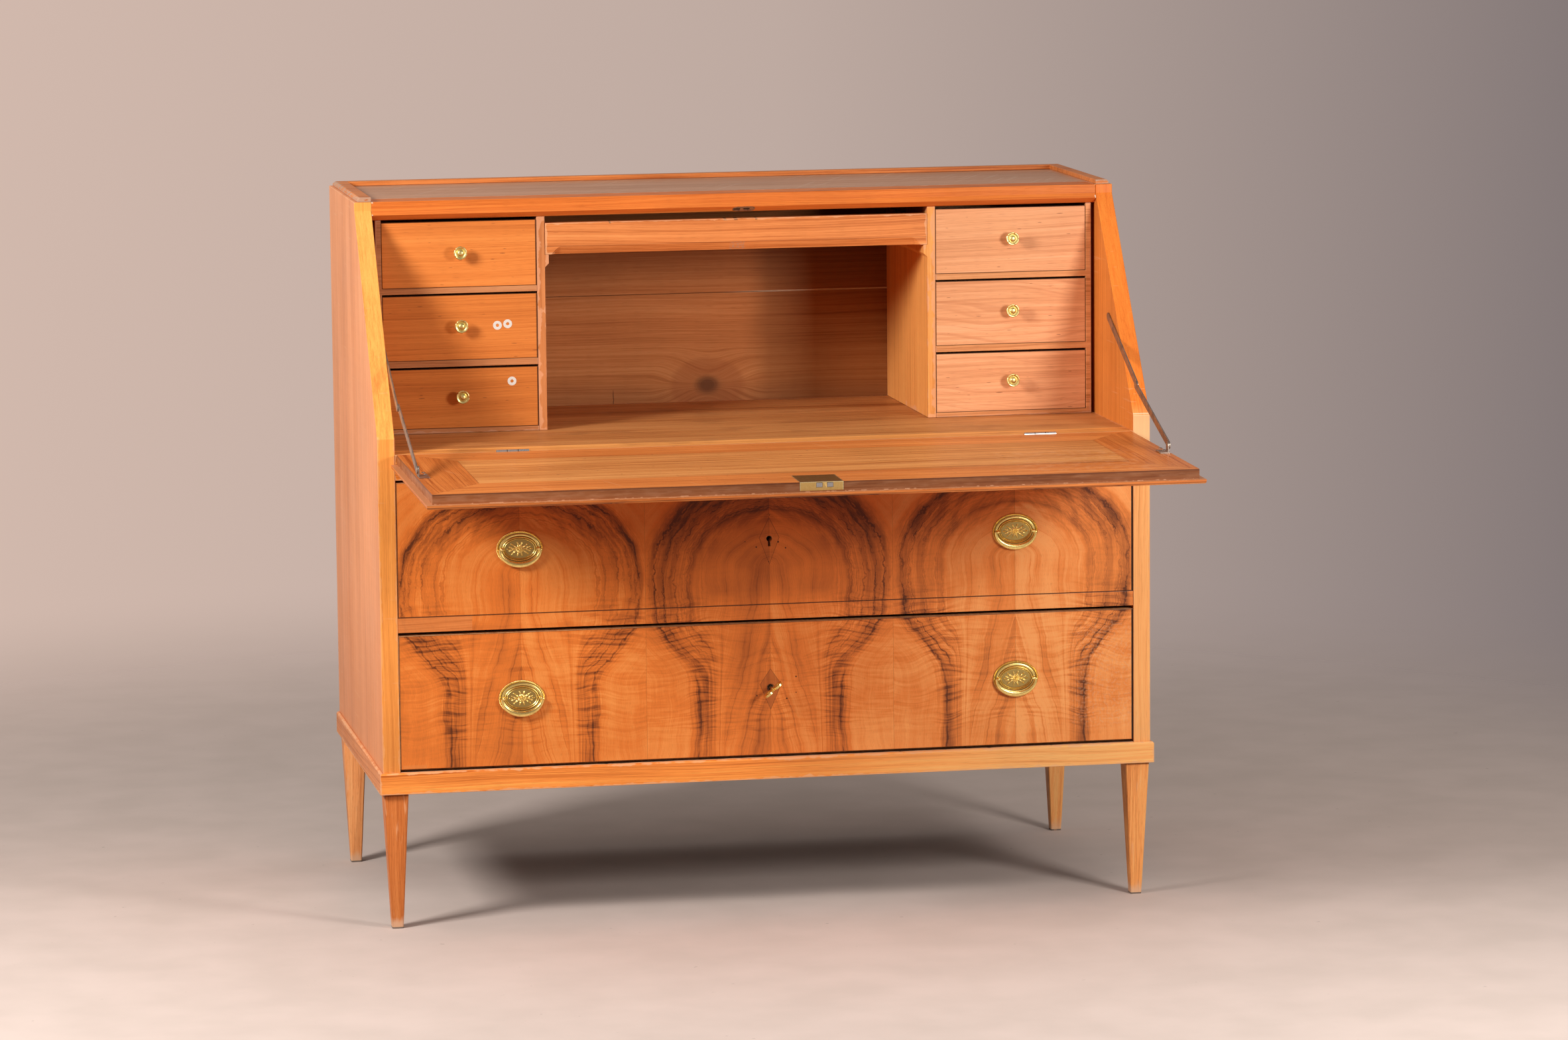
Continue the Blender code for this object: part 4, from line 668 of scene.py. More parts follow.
def back_boards():
    """Wide brown boards behind the compartment, with knots, a crack and a bright joint, and painted
    shade: a painted shadow right of x 0.064 to 0.116, darker towards the top and towards the bottom.
    """
    g, x, y, z = begin("back_wood", 0.05)
    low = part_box("back_board_lower")[1]
    knot_x, knot_z = x - KNOT_X, z - KNOT_Z
    from_knot = (knot_x * knot_x * 0.55 + knot_z * knot_z).root()
    bend = g.step(from_knot, 0, 0.075, 0.03, 0)
    bent = z + bend * g.step(knot_z, -0.01, 0.01, -1, 1)
    colour, relief = wood(g, x, bent, y, BROWN, 3, 0.85, 0.7)
    swirl = g.noise(from_knot * 420, x * 12, z * 12, 2)
    knot = g.fade(from_knot + (swirl - 0.5) * 0.006, 0.006, 0.022)
    colour = g.mix(knot * 0.8, colour, (0.07, 0.022, 0.01))
    edge = g.noise(x * 9, z * 12, 6, 3)
    # Painted shadow: darker right of x 0.064 to 0.116, with a ragged edge, deepening the cast shadow
    # there.
    painted_shadow = g.step(x + (edge - 0.5) * 0.03, 0.064, 0.116)
    colour = g.mix(painted_shadow * 0.46, colour, (0.12, 0.036, 0.005))
    # Painted shade: darker towards the top, at 0.62 of the colour above z 0.88 to 0.98.
    colour = g.shade(colour, g.step(z, 0.88, 0.98, 1, 0.62))
    # Painted shade: darker again towards the bottom, below z 0.745 to 0.79.
    painted_low_shade = g.fade(z + (edge - 0.5) * 0.03, 0.745, 0.79)
    colour = g.mix(painted_low_shade * 0.35, colour, (0.16, 0.06, 0.026))
    halo = g.inside(from_knot, 0.022, 0.04, 0.01)
    colour = g.mix(halo * 0.35, colour, (0.3, 0.085, 0.026))
    wander = (g.noise(z * 90, 1, 2) - 0.5) * 0.004
    crack = g.near(x + wander, -0.151, 0.0012) * g.fade(z, 0.758, 0.768)
    colour = g.mix(crack * 0.8, colour, INK)
    joint = g.near(z, low.z + 0.0004, 0.0012)
    bright_joint = g.near(z, low.z + 0.0004, 0.0018) * g.step(x, 0.02, 0.12)
    colour = g.mix(bright_joint * 0.9, colour, (0.96, 0.78, 0.56))
    colour = g.mix(joint * g.fade(x, 0.1, 0.15) * 0.6, colour, INK)
    outside, _ = wood(g, x, z, y, (0.52, 0.27, 0.12), 9, 1, 0.6)
    colour = g.mix(g.step(g.normal()[1], 0.4, 0.6), colour, outside)
    return g.finish(grimed(g, colour, 2, 0.5), 0.62, relief, 0.0002)


def scratched_top():
    """The top panel: greyed, covered in dust and full of fine pale scratches."""
    g, x, y, z = begin("top_board_wood", 0.15)
    colour, relief = wood(g, x, y, z, (0.57, 0.292, 0.172), 1, 0.6)
    for turn, seed in ((0.15, 1), (-0.4, 4), (1.1, 8)):
        u = x * math.cos(turn) + y * math.sin(turn)
        v = y * math.cos(turn) - x * math.sin(turn)
        lines = g.step(g.noise(u * 5 + seed, v * 420, seed, 1), 0.68, 0.73)
        colour = g.mix(lines * 0.5, colour, (0.78, 0.66, 0.54))
    return g.finish(grimed(g, colour, 5), 0.5, relief, 0.0002)


def metal(name, base, dark, gloss, recess=None, scale=400, tarnish=0.5, zones=None):
    """Old metal: brighter where it stands out and is handled, dark in its hollows."""
    g = Graph(name, metallic=1)
    x, y, z = g.place()
    cloud = g.noise(x * scale * 0.4, y * scale * 0.4, z * scale * 0.4, 3)
    speck = g.noise(x * scale * 5, y * scale * 5, z * scale * 5, 1)
    mask = g.step(cloud, 0.35, 0.75) * tarnish
    if recess:
        mask = mask.most(g.step(y, recess[0], recess[1]) * 0.9)
    colour = base
    for where, other in (zones(g) if zones else ()):
        colour = g.mix(where, colour, other)
    colour = g.mix(mask, colour, dark)
    return g.finish(colour, mask * 0.3 + speck * 0.12 + gloss, cloud + speck * 0.3, 0.00008, 0.4)


def lock_zones(g):
    """The lock: a dull top leaf, a brighter front, and rubbed edges between them."""
    x, y, z = g.place()
    nx, ny, nz = g.normal()
    low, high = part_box("fall_lock")
    under = DESK_TOP - (FRONT - y) * math.tan(SAG) - z
    top = g.step(nz, 0.4, 0.7)
    edge_x = edge_of(x, low.x, high.x)
    edge_y = edge_of(y, low.y, high.y)
    rim = g.fade(edge_x.least(edge_y), 0.0006, 0.0014) * top
    front_rim = g.fade(edge_x.least(under), 0.0005, 0.0012) * g.fade(ny, -0.7, -0.4)
    scratch = g.step(g.noise(x * 60, y * 900, 3, 2), 0.6, 0.7)
    return [(top, (0.3, 0.205, 0.07)), (scratch * top * 0.5, (0.7, 0.52, 0.22)),
            (rim.most(front_rim) * 0.8, (0.96, 0.84, 0.48))]


def hinge_zones(g):
    """Dark joints between the knuckles, and a bright ring at each end of the pin."""
    x, y, z = g.place()
    found = []
    for side in ("left", "right"):
        low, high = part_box(f"hinge_desk_leaf_{side}")
        third = (high.x - low.x) / 3
        for place in (low.x + third, high.x - third):
            found.append((g.near(x, place, 0.0011) * 0.9, (0.02, 0.016, 0.014)))
            found.append((g.near(x, place + 0.0016, 0.0008) * 0.8, PIN_STEEL))
        for place in (low.x + 0.0012, high.x - 0.0012):
            found.append((g.near(x, place, 0.0012) * 0.8, PIN_STEEL))
    return found


def key_zones(g):
    """A steel shaft under the brass bow."""
    x, y, z = g.place()
    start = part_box("key")[0].y + 0.0176
    joint = g.near(y, start + 0.004, 0.0009) * 0.9
    return [(g.step(y, start, start + 0.0006), (0.46, 0.44, 0.41)), (joint, (0.04, 0.03, 0.02))]


def loft(rings, close=True):
    """A mesh through rings of points, with its two ends filled."""
    shape = bmesh.new()
    made = [[shape.verts.new(point) for point in ring] for ring in rings]
    for first, second in zip(made, made[1:]):
        count = len(first)
        for i in range(count):
            j = (i + 1) % count
            shape.faces.new((first[i], first[j], second[j], second[i]))
    if close:
        for ring in (made[0], made[-1]):
            middle = sum((vert.co for vert in ring), Vector()) / len(ring)
            centre = shape.verts.new(middle)
            for i in range(len(ring)):
                shape.faces.new((ring[i], ring[(i + 1) % len(ring)], centre))
    bmesh.ops.recalc_face_normals(shape, faces=shape.faces)
    return shape


def keep(name, shape, material, body, replaced=(), crease=40):
    """Makes a piece from a shape that is already in place, and lets it ride on a body."""
    mesh = bpy.data.meshes.new(name)
    shape.to_mesh(mesh)
    shape.free()
    mesh.shade_smooth()
    mesh.set_sharp_from_angle(angle=math.radians(crease))
    mesh.materials.append(material)
    piece = bpy.data.objects.new(name, mesh)
    bpy.context.scene.collection.objects.link(piece)
    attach(piece, body)
    if replaced:
        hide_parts(*replaced)
    return piece


def metres(*rows):
    """Rows of two lengths in millimetres and a share, with the lengths in metres."""
    return [(first / 1000, second / 1000, share) for first, second, share in rows]


# The handles' stamped plates: half sizes, and rings as (way in from the edge, lift, share of beading).
PLATE_WIDE, PLATE_TALL = 0.0362, 0.028
BEADS = 96
BEAD_STEPS = 4
RIM = metres(
    (0, 0, 0), (0, 0.9, 0), (0.3, 1.3, 0.4), (0.8, 1.6, 1), (1.6, 1.7, 1), (2.5, 1.5, 1),
    (3, 1.1, 0.4), (3.4, 0.6, 0), (3.9, 0.5, 0), (4.5, 0.9, 0), (5.6, 1.3, 0), (6.8, 1.3, 0),
    (7.7, 0.9, 0), (8.2, 0.5, 0), (8.6, 0.6, 0), (9, 1.4, 0), (9.4, 2, 0), (9.9, 2.2, 0), (10.4, 1.9, 0),
    (10.9, 1.2, 0), (11.3, 0.6, 0), (11.7, 0.6, 0), (12.1, 1.2, 0), (12.6, 1.5, 0), (13.1, 1.2, 0),
    (13.5, 0.7, 0),
)
BEAD_LIFT = 0.0006
FIELD_STEPS = 30
# A generic flower spray: leaves as (x, z, turn, half length, half width), each with a twin below.
LEAVES = [
    (0.0085, 0, 0, 0.0034, 0.0015), (0.0078, 0.0042, 0.75, 0.0034, 0.0014),
    (0.0136, 0.0024, 0.4, 0.0034, 0.0013), (0.0178, 0, 0, 0.0022, 0.001),
    (0.003, 0.0082, 1.25, 0.003, 0.0013), (0.012, 0.0072, 0.55, 0.0022, 0.001),
]
PETALS = 9
FIELD_BASE = 0.0008
FLOWER_LIFT = 0.0016
LEAF_LIFT = 0.0014


def field_lift(px, pz):
    """The height of the flower spray at a point from the plate's middle."""
    far = math.hypot(px, pz)
    turn = math.atan2(pz, px)
    high = max(0, 1 - (far / 0.0017) ** 2) * FLOWER_LIFT * 1.2
    petal = math.cos(PETALS * turn / 2) ** 2
    high = max(high, max(0, 1 - ((far - 0.0038) / 0.0026) ** 2) * (0.25 + 0.75 * petal) * FLOWER_LIFT)
    for x, z, way, long, wide in LEAVES:
        dx = abs(px) - x
        for dz in (pz - z, -pz - z):
            u = (dx * math.cos(way) + dz * math.sin(way)) / long
            v = (dz * math.cos(way) - dx * math.sin(way)) / wide
            body = max(0, 1 - u * u - v * v)
            high = max(high, body ** 0.5 * LEAF_LIFT * (0.55 + 0.45 * min(1, abs(v) * 2.5)))
    return FIELD_BASE + high


def plate_rings(x, y, z):
    count = BEADS * BEAD_STEPS
    turns = [2 * math.pi * i / count for i in range(count)]
    rings = []
    for inset, lift, bead in RIM:
        wide, tall = PLATE_WIDE - inset, PLATE_TALL - inset
        ring = []
        for i, turn in enumerate(turns):
            high = lift + bead * BEAD_LIFT * math.cos(2 * math.pi * i / BEAD_STEPS)
            ring.append((x + wide * math.cos(turn), y - high, z + tall * math.sin(turn)))
        rings.append(ring)
    wide, tall = PLATE_WIDE - RIM[-1][0], PLATE_TALL - RIM[-1][0]
    for step in range(1, FIELD_STEPS):
        share = 1 - step / FIELD_STEPS
        ring = []
        for turn in turns:
            px, pz = wide * share * math.cos(turn), tall * share * math.sin(turn)
            ring.append((x + px, y - field_lift(px, pz), z + pz))
        rings.append(ring)
    return rings


def dome_rings(centre, axis, profile, steps=32, notches=0, notch=0):
    """Rings of a turned form: profile gives (radius, way out along the axis, share of notching)."""
    axis = Vector(axis).normalized()
    side = axis.orthogonal().normalized()
    if abs(axis.y) > 0.9:
        side = Vector((1, 0, 0))
    other = axis.cross(side)
    rings = []
    for radius, out, scallop in profile:
        ring = []
        for i in range(steps):
            turn = 2 * math.pi * i / steps
            size = radius
            if notches:
                size -= scallop * notch * max(0, math.cos(notches * turn)) ** 24
            way = side * math.cos(turn) + other * math.sin(turn)
            ring.append(Vector(centre) + axis * out + way * size)
        rings.append(ring)
    return rings


BAIL_WIDE = 0.0285 * 1.12
BAIL_STUB = 0.0255
BAIL_DROP = 0.0245
BAIL_STEPS = 44
BAIL_SIDES = 14


def bail_rings(x, y, z):
    """Rings along a bail, from its left stub down and up to its right one; thicker and flatter below."""
    rings = [stub_ring(x - BAIL_STUB, y, z, 1)]
    for i in range(BAIL_STEPS + 1):
        turn = math.pi * (1 + i / BAIL_STEPS)
        centre = Vector((BAIL_WIDE * math.cos(turn), BAIL_DROP * math.sin(turn)))
        way = Vector((math.cos(turn) / BAIL_WIDE, math.sin(turn) / BAIL_DROP)).normalized()
        low = max(-centre.y / BAIL_DROP, 0)
        half = 0.00215 + 0.0021 * low ** 1.3
        ring = []
        for k in range(BAIL_SIDES):
            angle = 2 * math.pi * (k + 0.5) / BAIL_SIDES
            c, s = math.cos(angle), math.sin(angle)
            c = math.copysign(abs(c) ** 0.8, c)
            point = centre + way * half * c
            ring.append((x + point.x, y + 0.0019 * s, z + point.y))
        rings.append(ring)
    rings.append(stub_ring(x + BAIL_STUB, y, z, -1))
    return rings


def stub_ring(x, y, z, side):
    ring = []
    for k in range(BAIL_SIDES):
        angle = 2 * math.pi * (k + 0.5) / BAIL_SIDES
        ring.append((x, y + 0.0021 * math.sin(angle), z - side * 0.0021 * math.cos(angle)))
    return ring


def joined(shapes):
    """One shape from several separate closed ones."""
    whole = shapes[0]
    for extra in shapes[1:]:
        mesh = bpy.data.meshes.new("joining")
        extra.to_mesh(mesh)
        extra.free()
        whole.from_mesh(mesh)
        bpy.data.meshes.remove(mesh)
    return whole


STUD = metres((3, 0, 0), (3.1, 3, 0), (3, 5.2, 0), (2.6, 6.6, 0), (1.7, 7.6, 0), (0.6, 8, 0))
STUD_OUT = 0.0285


def make_handles(plate_brass, bail_brass):
    for level, body in (("upper", "drawer_upper"), ("lower", "drawer_lower")):
        for side in ("left", "right"):
            node = f"handle_plate_{level}_{side}"
            low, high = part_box(node)
            x, z = (low.x + high.x) / 2, (low.z + high.z) / 2
            plate = loft(plate_rings(x, high.y, z))
            studs = []
            for way in (-1, 1):
                place = (x + way * STUD_OUT, high.y, z)
                studs.append(loft(dome_rings(place, (0, -1, 0), STUD, 24)))
            shape = joined([plate, *studs])
            keep(f"plate_{level}_{side}", shape, plate_brass, body, (node,), 50)
            bail_node = f"bail_{level}_{side}"
            low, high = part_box(bail_node)
            bail = loft(bail_rings(x, (low.y + high.y) / 2, z))
            keep(f"grip_{level}_{side}", bail, bail_brass, bail_node, (bail_node,), 50)


KNOB_NOTCHES, KNOB_NOTCH = 5, 0.0014
KNOB = metres(
    (6.6, 0, 0), (6.6, 1.3, 0), (5.8, 1.8, 0), (4.4, 2.3, 0), (3.6, 3.4, 0), (3.3, 5.5, 0), (3.5, 8, 0),
    (4.6, 9.9, 0), (6.8, 11.6, 0), (9, 12.7, 0.4), (10.2, 13.6, 1), (10.7, 14.6, 1), (10.7, 15.4, 1),
    (10.3, 16.1, 1), (9.6, 16.4, 0.6), (8.6, 16.1, 0), (7.4, 15.7, 0), (6.6, 15.2, 0), (6.1, 14.7, 0),
    (5.5, 14.7, 0), (5.2, 15.5, 0), (4.8, 16.4, 0), (4, 17.2, 0), (2.8, 17.7, 0), (1.4, 17.95, 0),
    (0.4, 18, 0),
)


def make_knobs(brass):
    for side in ("left", "right"):
        for row in (1, 2, 3):
            node = f"knob_{side}_{row}"
            low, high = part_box(node)
            place = ((low.x + high.x) / 2, high.y, (low.z + high.z) / 2)
            rings = dome_rings(place, (0, -1, 0), KNOB, 90, KNOB_NOTCHES, KNOB_NOTCH)
            drawer = f"small_drawer_{side}_{row}"
            keep(f"pull_{side}_{row}", loft(rings), brass, drawer, (node,), 40)


# Paper rings stuck on drawer fronts: (x, z, row), and the section of each, as (radius, way out).
PAPER_RINGS = [(-0.3858, 0.911, 2), (-0.3695, 0.913, 2), (-0.364, 0.822, 1)]
PAPER_INNER, PAPER_OUTER, PAPER_THICK = 0.0026, 0.007, 0.00022
PAPER_SECTION = [
    (PAPER_INNER, 0), (PAPER_OUTER, 0), (PAPER_OUTER, PAPER_THICK), (PAPER_INNER, PAPER_THICK),
    (PAPER_INNER, 0),
]


def make_rings(paper):
    """Small white paper rings stuck on two drawer fronts."""
    steps = 40
    for index, (x, z, row) in enumerate(PAPER_RINGS):
        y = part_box(f"small_drawer_left_{row}")[0].y
        rings = []
        for radius, out in PAPER_SECTION:
            ring = []
            for i in range(steps):
                turn = 2 * math.pi * i / steps
                ring.append((x + radius * math.cos(turn), y - out, z + radius * math.sin(turn)))
            rings.append(ring)
        shape = loft(rings, close=False)
        bmesh.ops.remove_doubles(shape, verts=shape.verts, dist=0.000001)
        keep(f"paper_ring_{index + 1}", shape, paper, f"small_drawer_left_{row}", crease=30)


SCREW = metres((3.4, 0, 0), (3.4, 0.3, 0), (2.8, 0.9, 0), (1.6, 1.3, 0), (0.5, 1.4, 0))


SCREW_SHARES = (0.16, 0.84)
SCREW_INSET, SCREW_LIFT = 0.002, 0.0008


def make_fixings(steel):
    """Screw heads on the stay brackets."""
    for side in ("left", "right"):
        low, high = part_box(f"stay_bracket_{side}")
        x = (low.x + high.x) / 2
        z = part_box("fall")[1].z + SCREW_LIFT
        for index, share in enumerate(SCREW_SHARES):
            place = (x - math.copysign(SCREW_INSET, x), low.y + (high.y - low.y) * share, z)
            head = loft(dome_rings(place, (0, 0, 1), SCREW, 20))
            keep(f"bracket_screw_{side}_{index + 1}", head, steel, "fall")


# The sloping rebate under the top rail, as (y, z) of its front and rear edges, and the plate on it.
REBATE_FRONT, REBATE_REAR = Vector((0.1591, 1.0902)), Vector((0.1706, 1.0817))
STRIKE_LEFT, STRIKE_RIGHT = -0.008, 0.028
STRIKE_INSET, STRIKE_THICK = 0.0006, 0.00015
STRIKE_SLOTS = ((-0.006, 0.0042), (0.0092, 0.0192))
SLOT_HALF = 0.0018


def make_strike(steel):
    """The strike plate in the top rail's rebate: round-ended, with two slots for the lock's bolts, shown
    as near-black sheets of painted shade.
    """
    along = (REBATE_REAR - REBATE_FRONT).normalized()
    out = Vector((along.y, -along.x))
    middle = (REBATE_FRONT + REBATE_REAR) / 2
    half = (REBATE_REAR - REBATE_FRONT).length / 2 - STRIKE_INSET
    steps = 12

    def point(x, across, lift):
        y, z = middle + along * across + out * lift
        return x, y, z

    rings = []
    for inset, lift in ((0, -0.0003), (0, STRIKE_THICK * 0.5), (0.0003, STRIKE_THICK)):
        ring = []
        for side, end in enumerate((STRIKE_RIGHT - half, STRIKE_LEFT + half)):
            for i in range(steps + 1):
                turn = math.pi * (side - 0.5 + i / steps)
                reach = half - inset
                ring.append(point(end + reach * math.cos(turn), reach * math.sin(turn), lift))
        rings.append(ring)
    keep("strike_plate", loft(rings), steel, "case", crease=30)
    # The slots are near-black sheets laid on the plate: painted shade for the dark inside of the bolt
    # holes.
    g = Graph("strike_slot_dark")
    x, y, z = g.place()
    spot = g.noise(x * 900, y * 900, z * 900)
    dark = g.finish(g.ramp(spot, [(0.3, (0.006, 0.004, 0.003)), (0.7, (0.03, 0.02, 0.014))]), 0.8)
    for index, (start, end) in enumerate(STRIKE_SLOTS):
        slot = []
        for lift in (0, STRIKE_THICK + 0.00004):
            corners = ((start, -SLOT_HALF), (end, -SLOT_HALF), (end, SLOT_HALF), (start, SLOT_HALF))
            slot.append([point(place, across, lift) for place, across in corners])
        keep(f"strike_slot_{index + 1}", loft(slot), dark, "case")


def paper_material():
    g = Graph("paper")
    x, y, z = g.place()
    spot = g.noise(x * 900, y * 900, z * 900, 2)
    colour = g.ramp(spot, [(0.3, (0.66, 0.62, 0.56)), (0.7, (0.8, 0.78, 0.74))])
    return g.finish(colour, 0.8, spot, 0.00005)


def dress():
    """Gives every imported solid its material."""
    for name, side in (("gable_left", -1), ("gable_right", 1)):
        put(gable(name, side), name)
    put(large_drawer("drawer_upper", (0.625, 0.5935, 0.552, 0.0158, 0.3), 1), "drawer_upper")
    put(large_drawer("drawer_lower", (0.387, 0.3625, 0.323, 0.0168, 0.8), 2), "drawer_lower")
    put(fall_board(), "fall")
    put(desk_top(), "desk_board")
    put(middle_rail(), "middle_rail")
    put(scratched_top(), "top_board")
    put(back_boards(), "back_board_lower", "back_board_upper")
    board("desk_rail", "x", ORANGE, 2)
    board("top_rail", "x", (0.7, 0.175, 0.028), 3, 0.0016, (0.86, 0.62, 0.46), 0.9)
    board("cap_moulding", "x_flat", (0.68, 0.21, 0.052), 1, 0.0035, (0.52, 0.31, 0.205), 0.9)
    board("bottom_board", "x_flat", (0.12, 0.06, 0.032), 4)
    put(base_front(), "base_moulding_front")
    for name in ("base_moulding_left", "base_moulding_right"):
        board(name, "y", (0.69, 0.24, 0.083), 6, 0.0022, WORN, 0.6)
    for seed, name in enumerate(("leg_front_left", "leg_front_right", "leg_back_left", "leg_back_right")):
        put(leg(name, seed * 2 + 1), name)
    for seed, name in enumerate(("partition_left", "partition_right")):
        # The right partition is paler than the left: painted light that lifts the shade on its inner
        # face.
        mean = ((0.6, 0.215, 0.07), (0.88, 0.37, 0.098))[seed]
        board(name, "z_side", mean, seed + 2, 0.004, (0.8, 0.4, 0.22), 0.6, 0.6)
    for seed, name in enumerate(("drawer_nest_left", "drawer_nest_right")):
        mean = ((0.52, 0.2, 0.075), (0.74, 0.32, 0.125))[seed]
        board(name, "x", mean, seed + 5, 0.0016, DUSTY, 0.8)
    for side in ("left", "right"):
        for row in (1, 2, 3):
            name = f"small_drawer_{side}_{row}"
            put(small_drawer(name, row * 3 + (20 if side == "left" else 0)), name)
    put(tray_front(), "tray_drawer")
    steel = metal("steel_old", STEEL, (0.11, 0.075, 0.055), 0.3, scale=160, tarnish=0.6)
    for side in ("left", "right"):
        put(steel, f"stay_upper_{side}", f"stay_lower_{side}", f"stay_bracket_{side}")
        hinge = metal(f"hinge_{side}", HINGE_STEEL, HINGE_DARK, 0.22, tarnish=0.3, zones=hinge_zones)
        put(hinge, f"hinge_desk_leaf_{side}", f"hinge_fall_leaf_{side}")
    put(steel, "drawer_lock")
    put(metal("lock_brass", LOCK_BRASS, OLD_BRASS, 0.3, tarnish=0.4, zones=lock_zones), "fall_lock")
    put(metal("bolt_steel", (0.62, 0.61, 0.6), (0.1, 0.08, 0.07), 0.2, tarnish=0.4), "fall_bolts")
    put(metal("key_brass", BRASS, OLD_BRASS, 0.2, tarnish=0.3, zones=key_zones), "key")
    metals = ("handle", "bail", "knob", "stay", "hinge", "key", "fall_lock", "fall_bolts", "drawer_lock")
    boards = [name for name in NODES if NODES[name].data.materials and not name.startswith(metals)]
    soften(0.0008, *boards)
    softened = ("stay", "fall_lock", "fall_bolts", "key")
    soften(0.0003, *[name for name in NODES if name.startswith(softened)])
    return steel


def make_floor():
    """A pale floor that keeps the object's shadow and fades out into the backdrop's colour."""
    shape = bmesh.new()
    bmesh.ops.create_circle(shape, cap_ends=True, segments=96, radius=4)
    mesh = bpy.data.meshes.new("floor")
    shape.to_mesh(mesh)
    shape.free()
    floor = bpy.data.objects.new("floor", mesh)
    bpy.context.scene.collection.objects.link(floor)
    floor.location = (0, 0.1, 0)
    g = Graph("floor_paint")
    x, y, z = g.place()
    smudge = g.noise(x * 7, y * 7, 1, 4)
    colour = g.ramp(smudge, [(0.35, (0.6, 0.505, 0.46)), (0.65, (0.65, 0.545, 0.5))])
    speck = g.step(g.noise(x * 55, y * 55, 4, 2), 0.74, 0.79)
    colour = g.mix(speck * 0.35, colour, (0.22, 0.17, 0.15))
    path = g.node("LightPath")
    colour = g.shade(colour, 1 - Num(g, path.outputs["Is Diffuse Ray"]) * 0.28)
    g.finish(colour, 0.75)
    g.shader.inputs["Specular IOR Level"].default_value = 0.2
    away = (x * x + y * y * 0.8).root()
    clear = g.node("BsdfTransparent")
    blend = g.node("MixShader")
    g.feed(blend.inputs[0], g.step(away, 1.1, 3.2))
    g.tree.links.new(g.shader.outputs[0], blend.inputs[1])
    g.tree.links.new(clear.outputs[0], blend.inputs[2])
    g.tree.links.new(blend.outputs[0], g.tree.nodes["Material Output"].inputs["Surface"])
    mesh.materials.append(g.material)


def make_world():
    """Even soft light for the object, and a smooth beige backdrop for the camera."""
    world = bpy.data.worlds.new("studio")
    bpy.context.scene.world = world
    world.use_nodes = True
    g = Graph.__new__(Graph)
    g.tree = world.node_tree
    g.places = {}
    split = g.node("SeparateXYZ")
    g.feed(split.inputs[0], g.node("TexCoord").outputs["Generated"])
    x, y, z = [Num(g, socket) for socket in split.outputs]
    across = (x * 0.983 + y * -0.185) * 3.4 + 0.5
    wall = g.ramp(across, [
        (0.05, (0.64, 0.483, 0.415)), (0.5, (0.515, 0.403, 0.357)), (0.95, (0.232, 0.192, 0.188))])
    ground = g.ramp(across, [
        (0.05, (0.86, 0.68, 0.585)), (0.5, (0.8, 0.635, 0.545)), (0.95, (0.76, 0.62, 0.56))])
    colour = g.mix(g.step(z, -0.215, -0.165), ground, wall)
    shown = g.tree.nodes["Background"]
    g.feed(shown.inputs[0], colour)
    light = g.node("Background")
    light.inputs[0].default_value = (1, 0.94, 0.88, 1)
    above = z.most(0)
    low_down = g.step(above, 0.3, 0.72, 0.4, 1.05)
    behind = g.step(y, -0.15, 0.45, 1, 0.3)
    g.feed(light.inputs[1], (above * above * low_down + 0.012) * behind)
    path = g.node("LightPath")
    glossy = Num(g, path.outputs["Is Glossy Ray"])
    shown.inputs[1].default_value = 1
    seen = Num(g, path.outputs["Is Camera Ray"]).most(glossy)
    seen = seen.most(Num(g, path.outputs["Is Transmission Ray"]))
    blend = g.node("MixShader")
    g.feed(blend.inputs[0], seen)
    g.tree.links.new(light.outputs[0], blend.inputs[1])
    g.tree.links.new(shown.outputs[0], blend.inputs[2])
    g.tree.links.new(blend.outputs[0], g.tree.nodes["World Output"].inputs["Surface"])


LAMP_AIM = Vector((0, 0, 0.6))


def make_lamp(name, place, size, power):
    """A square soft box that looks at the middle of the object."""
    lamp = bpy.data.lights.new(name, "AREA")
    lamp.shape = "SQUARE"
    lamp.size = size
    lamp.energy = power
    lamp.color = (1, 0.965, 0.92)
    holder = bpy.data.objects.new(name, lamp)
    bpy.context.scene.collection.objects.link(holder)
    holder.location = place
    holder.rotation_mode = "QUATERNION"
    holder.rotation_quaternion = (Vector(place) - LAMP_AIM).to_track_quat("Z", "Y")


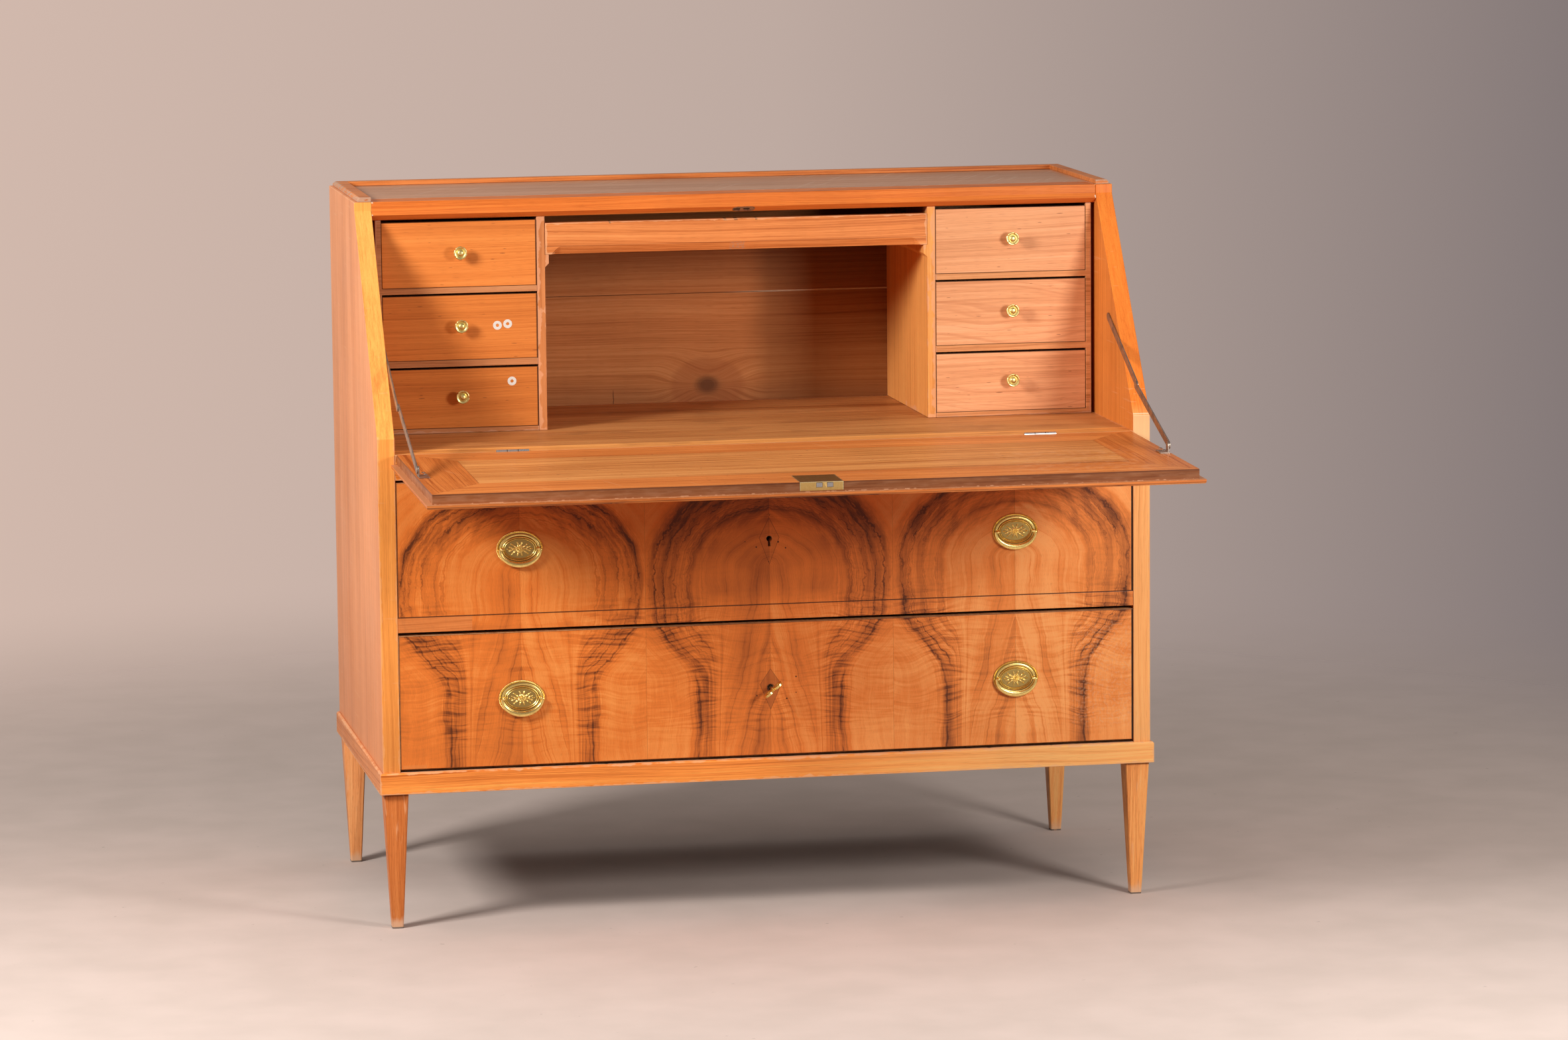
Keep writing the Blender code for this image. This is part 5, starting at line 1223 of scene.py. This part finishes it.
def make_lights():
    """Two lamps in front, where the shadows in the photograph say."""
    make_lamp("soft_left", (-2.27, -1.14, 1.88), 0.6, 72)
    make_lamp("soft_right", (1.35, -1.9, 1.26), 0.5, 33)


FOCAL_PIXELS, PHOTO_WIDTH = 8994.66, 2365
SENSOR = 36
# The photograph's camera: its turn, nod and roll in radians, and its place.
YAW, NOD, ROLL = -0.1864, -0.1365, -0.0094
CAMERA_PLACE = Vector((-1.6795, -9.0317 + FRONT, 1.8828))


def make_camera():
    """The photograph's own view: a long lens, a little above and to the left."""
    data = bpy.data.cameras.new("camera")
    data.sensor_width = SENSOR
    data.sensor_fit = "HORIZONTAL"
    data.lens = SENSOR * (FOCAL_PIXELS / PHOTO_WIDTH)
    data.clip_end = 200
    camera = bpy.data.objects.new("camera", data)
    bpy.context.scene.collection.objects.link(camera)
    level = math.cos(NOD)
    ahead = Vector((-math.sin(YAW) * level, math.cos(YAW) * level, math.sin(NOD)))
    right = Vector((math.cos(YAW), math.sin(YAW), 0))
    up = right.cross(ahead)
    turned_right = right * math.cos(ROLL) + up * math.sin(ROLL)
    turned_up = up * math.cos(ROLL) - right * math.sin(ROLL)
    rows = [(*axes, shift) for axes, shift in zip(zip(turned_right, turned_up, -ahead), CAMERA_PLACE)]
    camera.matrix_world = Matrix((*rows, (0, 0, 0, 1)))
    bpy.context.scene.camera = camera


make_camera()
steel = dress()
plate_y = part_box("handle_plate_upper_left")[1].y
recess = (plate_y - 0.0013, plate_y - 0.0006)
plate_brass = metal("plate_brass", BRASS, OLD_BRASS, 0.2, recess, tarnish=0.35)
bail_brass = metal("bail_brass", BRASS, OLD_BRASS, 0.18, tarnish=0.25)
make_handles(plate_brass, bail_brass)
make_knobs(metal("knob_brass", (0.86, 0.74, 0.31), OLD_BRASS, 0.26, tarnish=0.35))
make_rings(paper_material())
make_fixings(steel)
make_strike(metal("strike_steel", (0.52, 0.4, 0.3), (0.1, 0.07, 0.05), 0.45, tarnish=0.9))
make_floor()
make_world()
make_lights()
bpy.context.scene.view_settings.view_transform = "Standard"
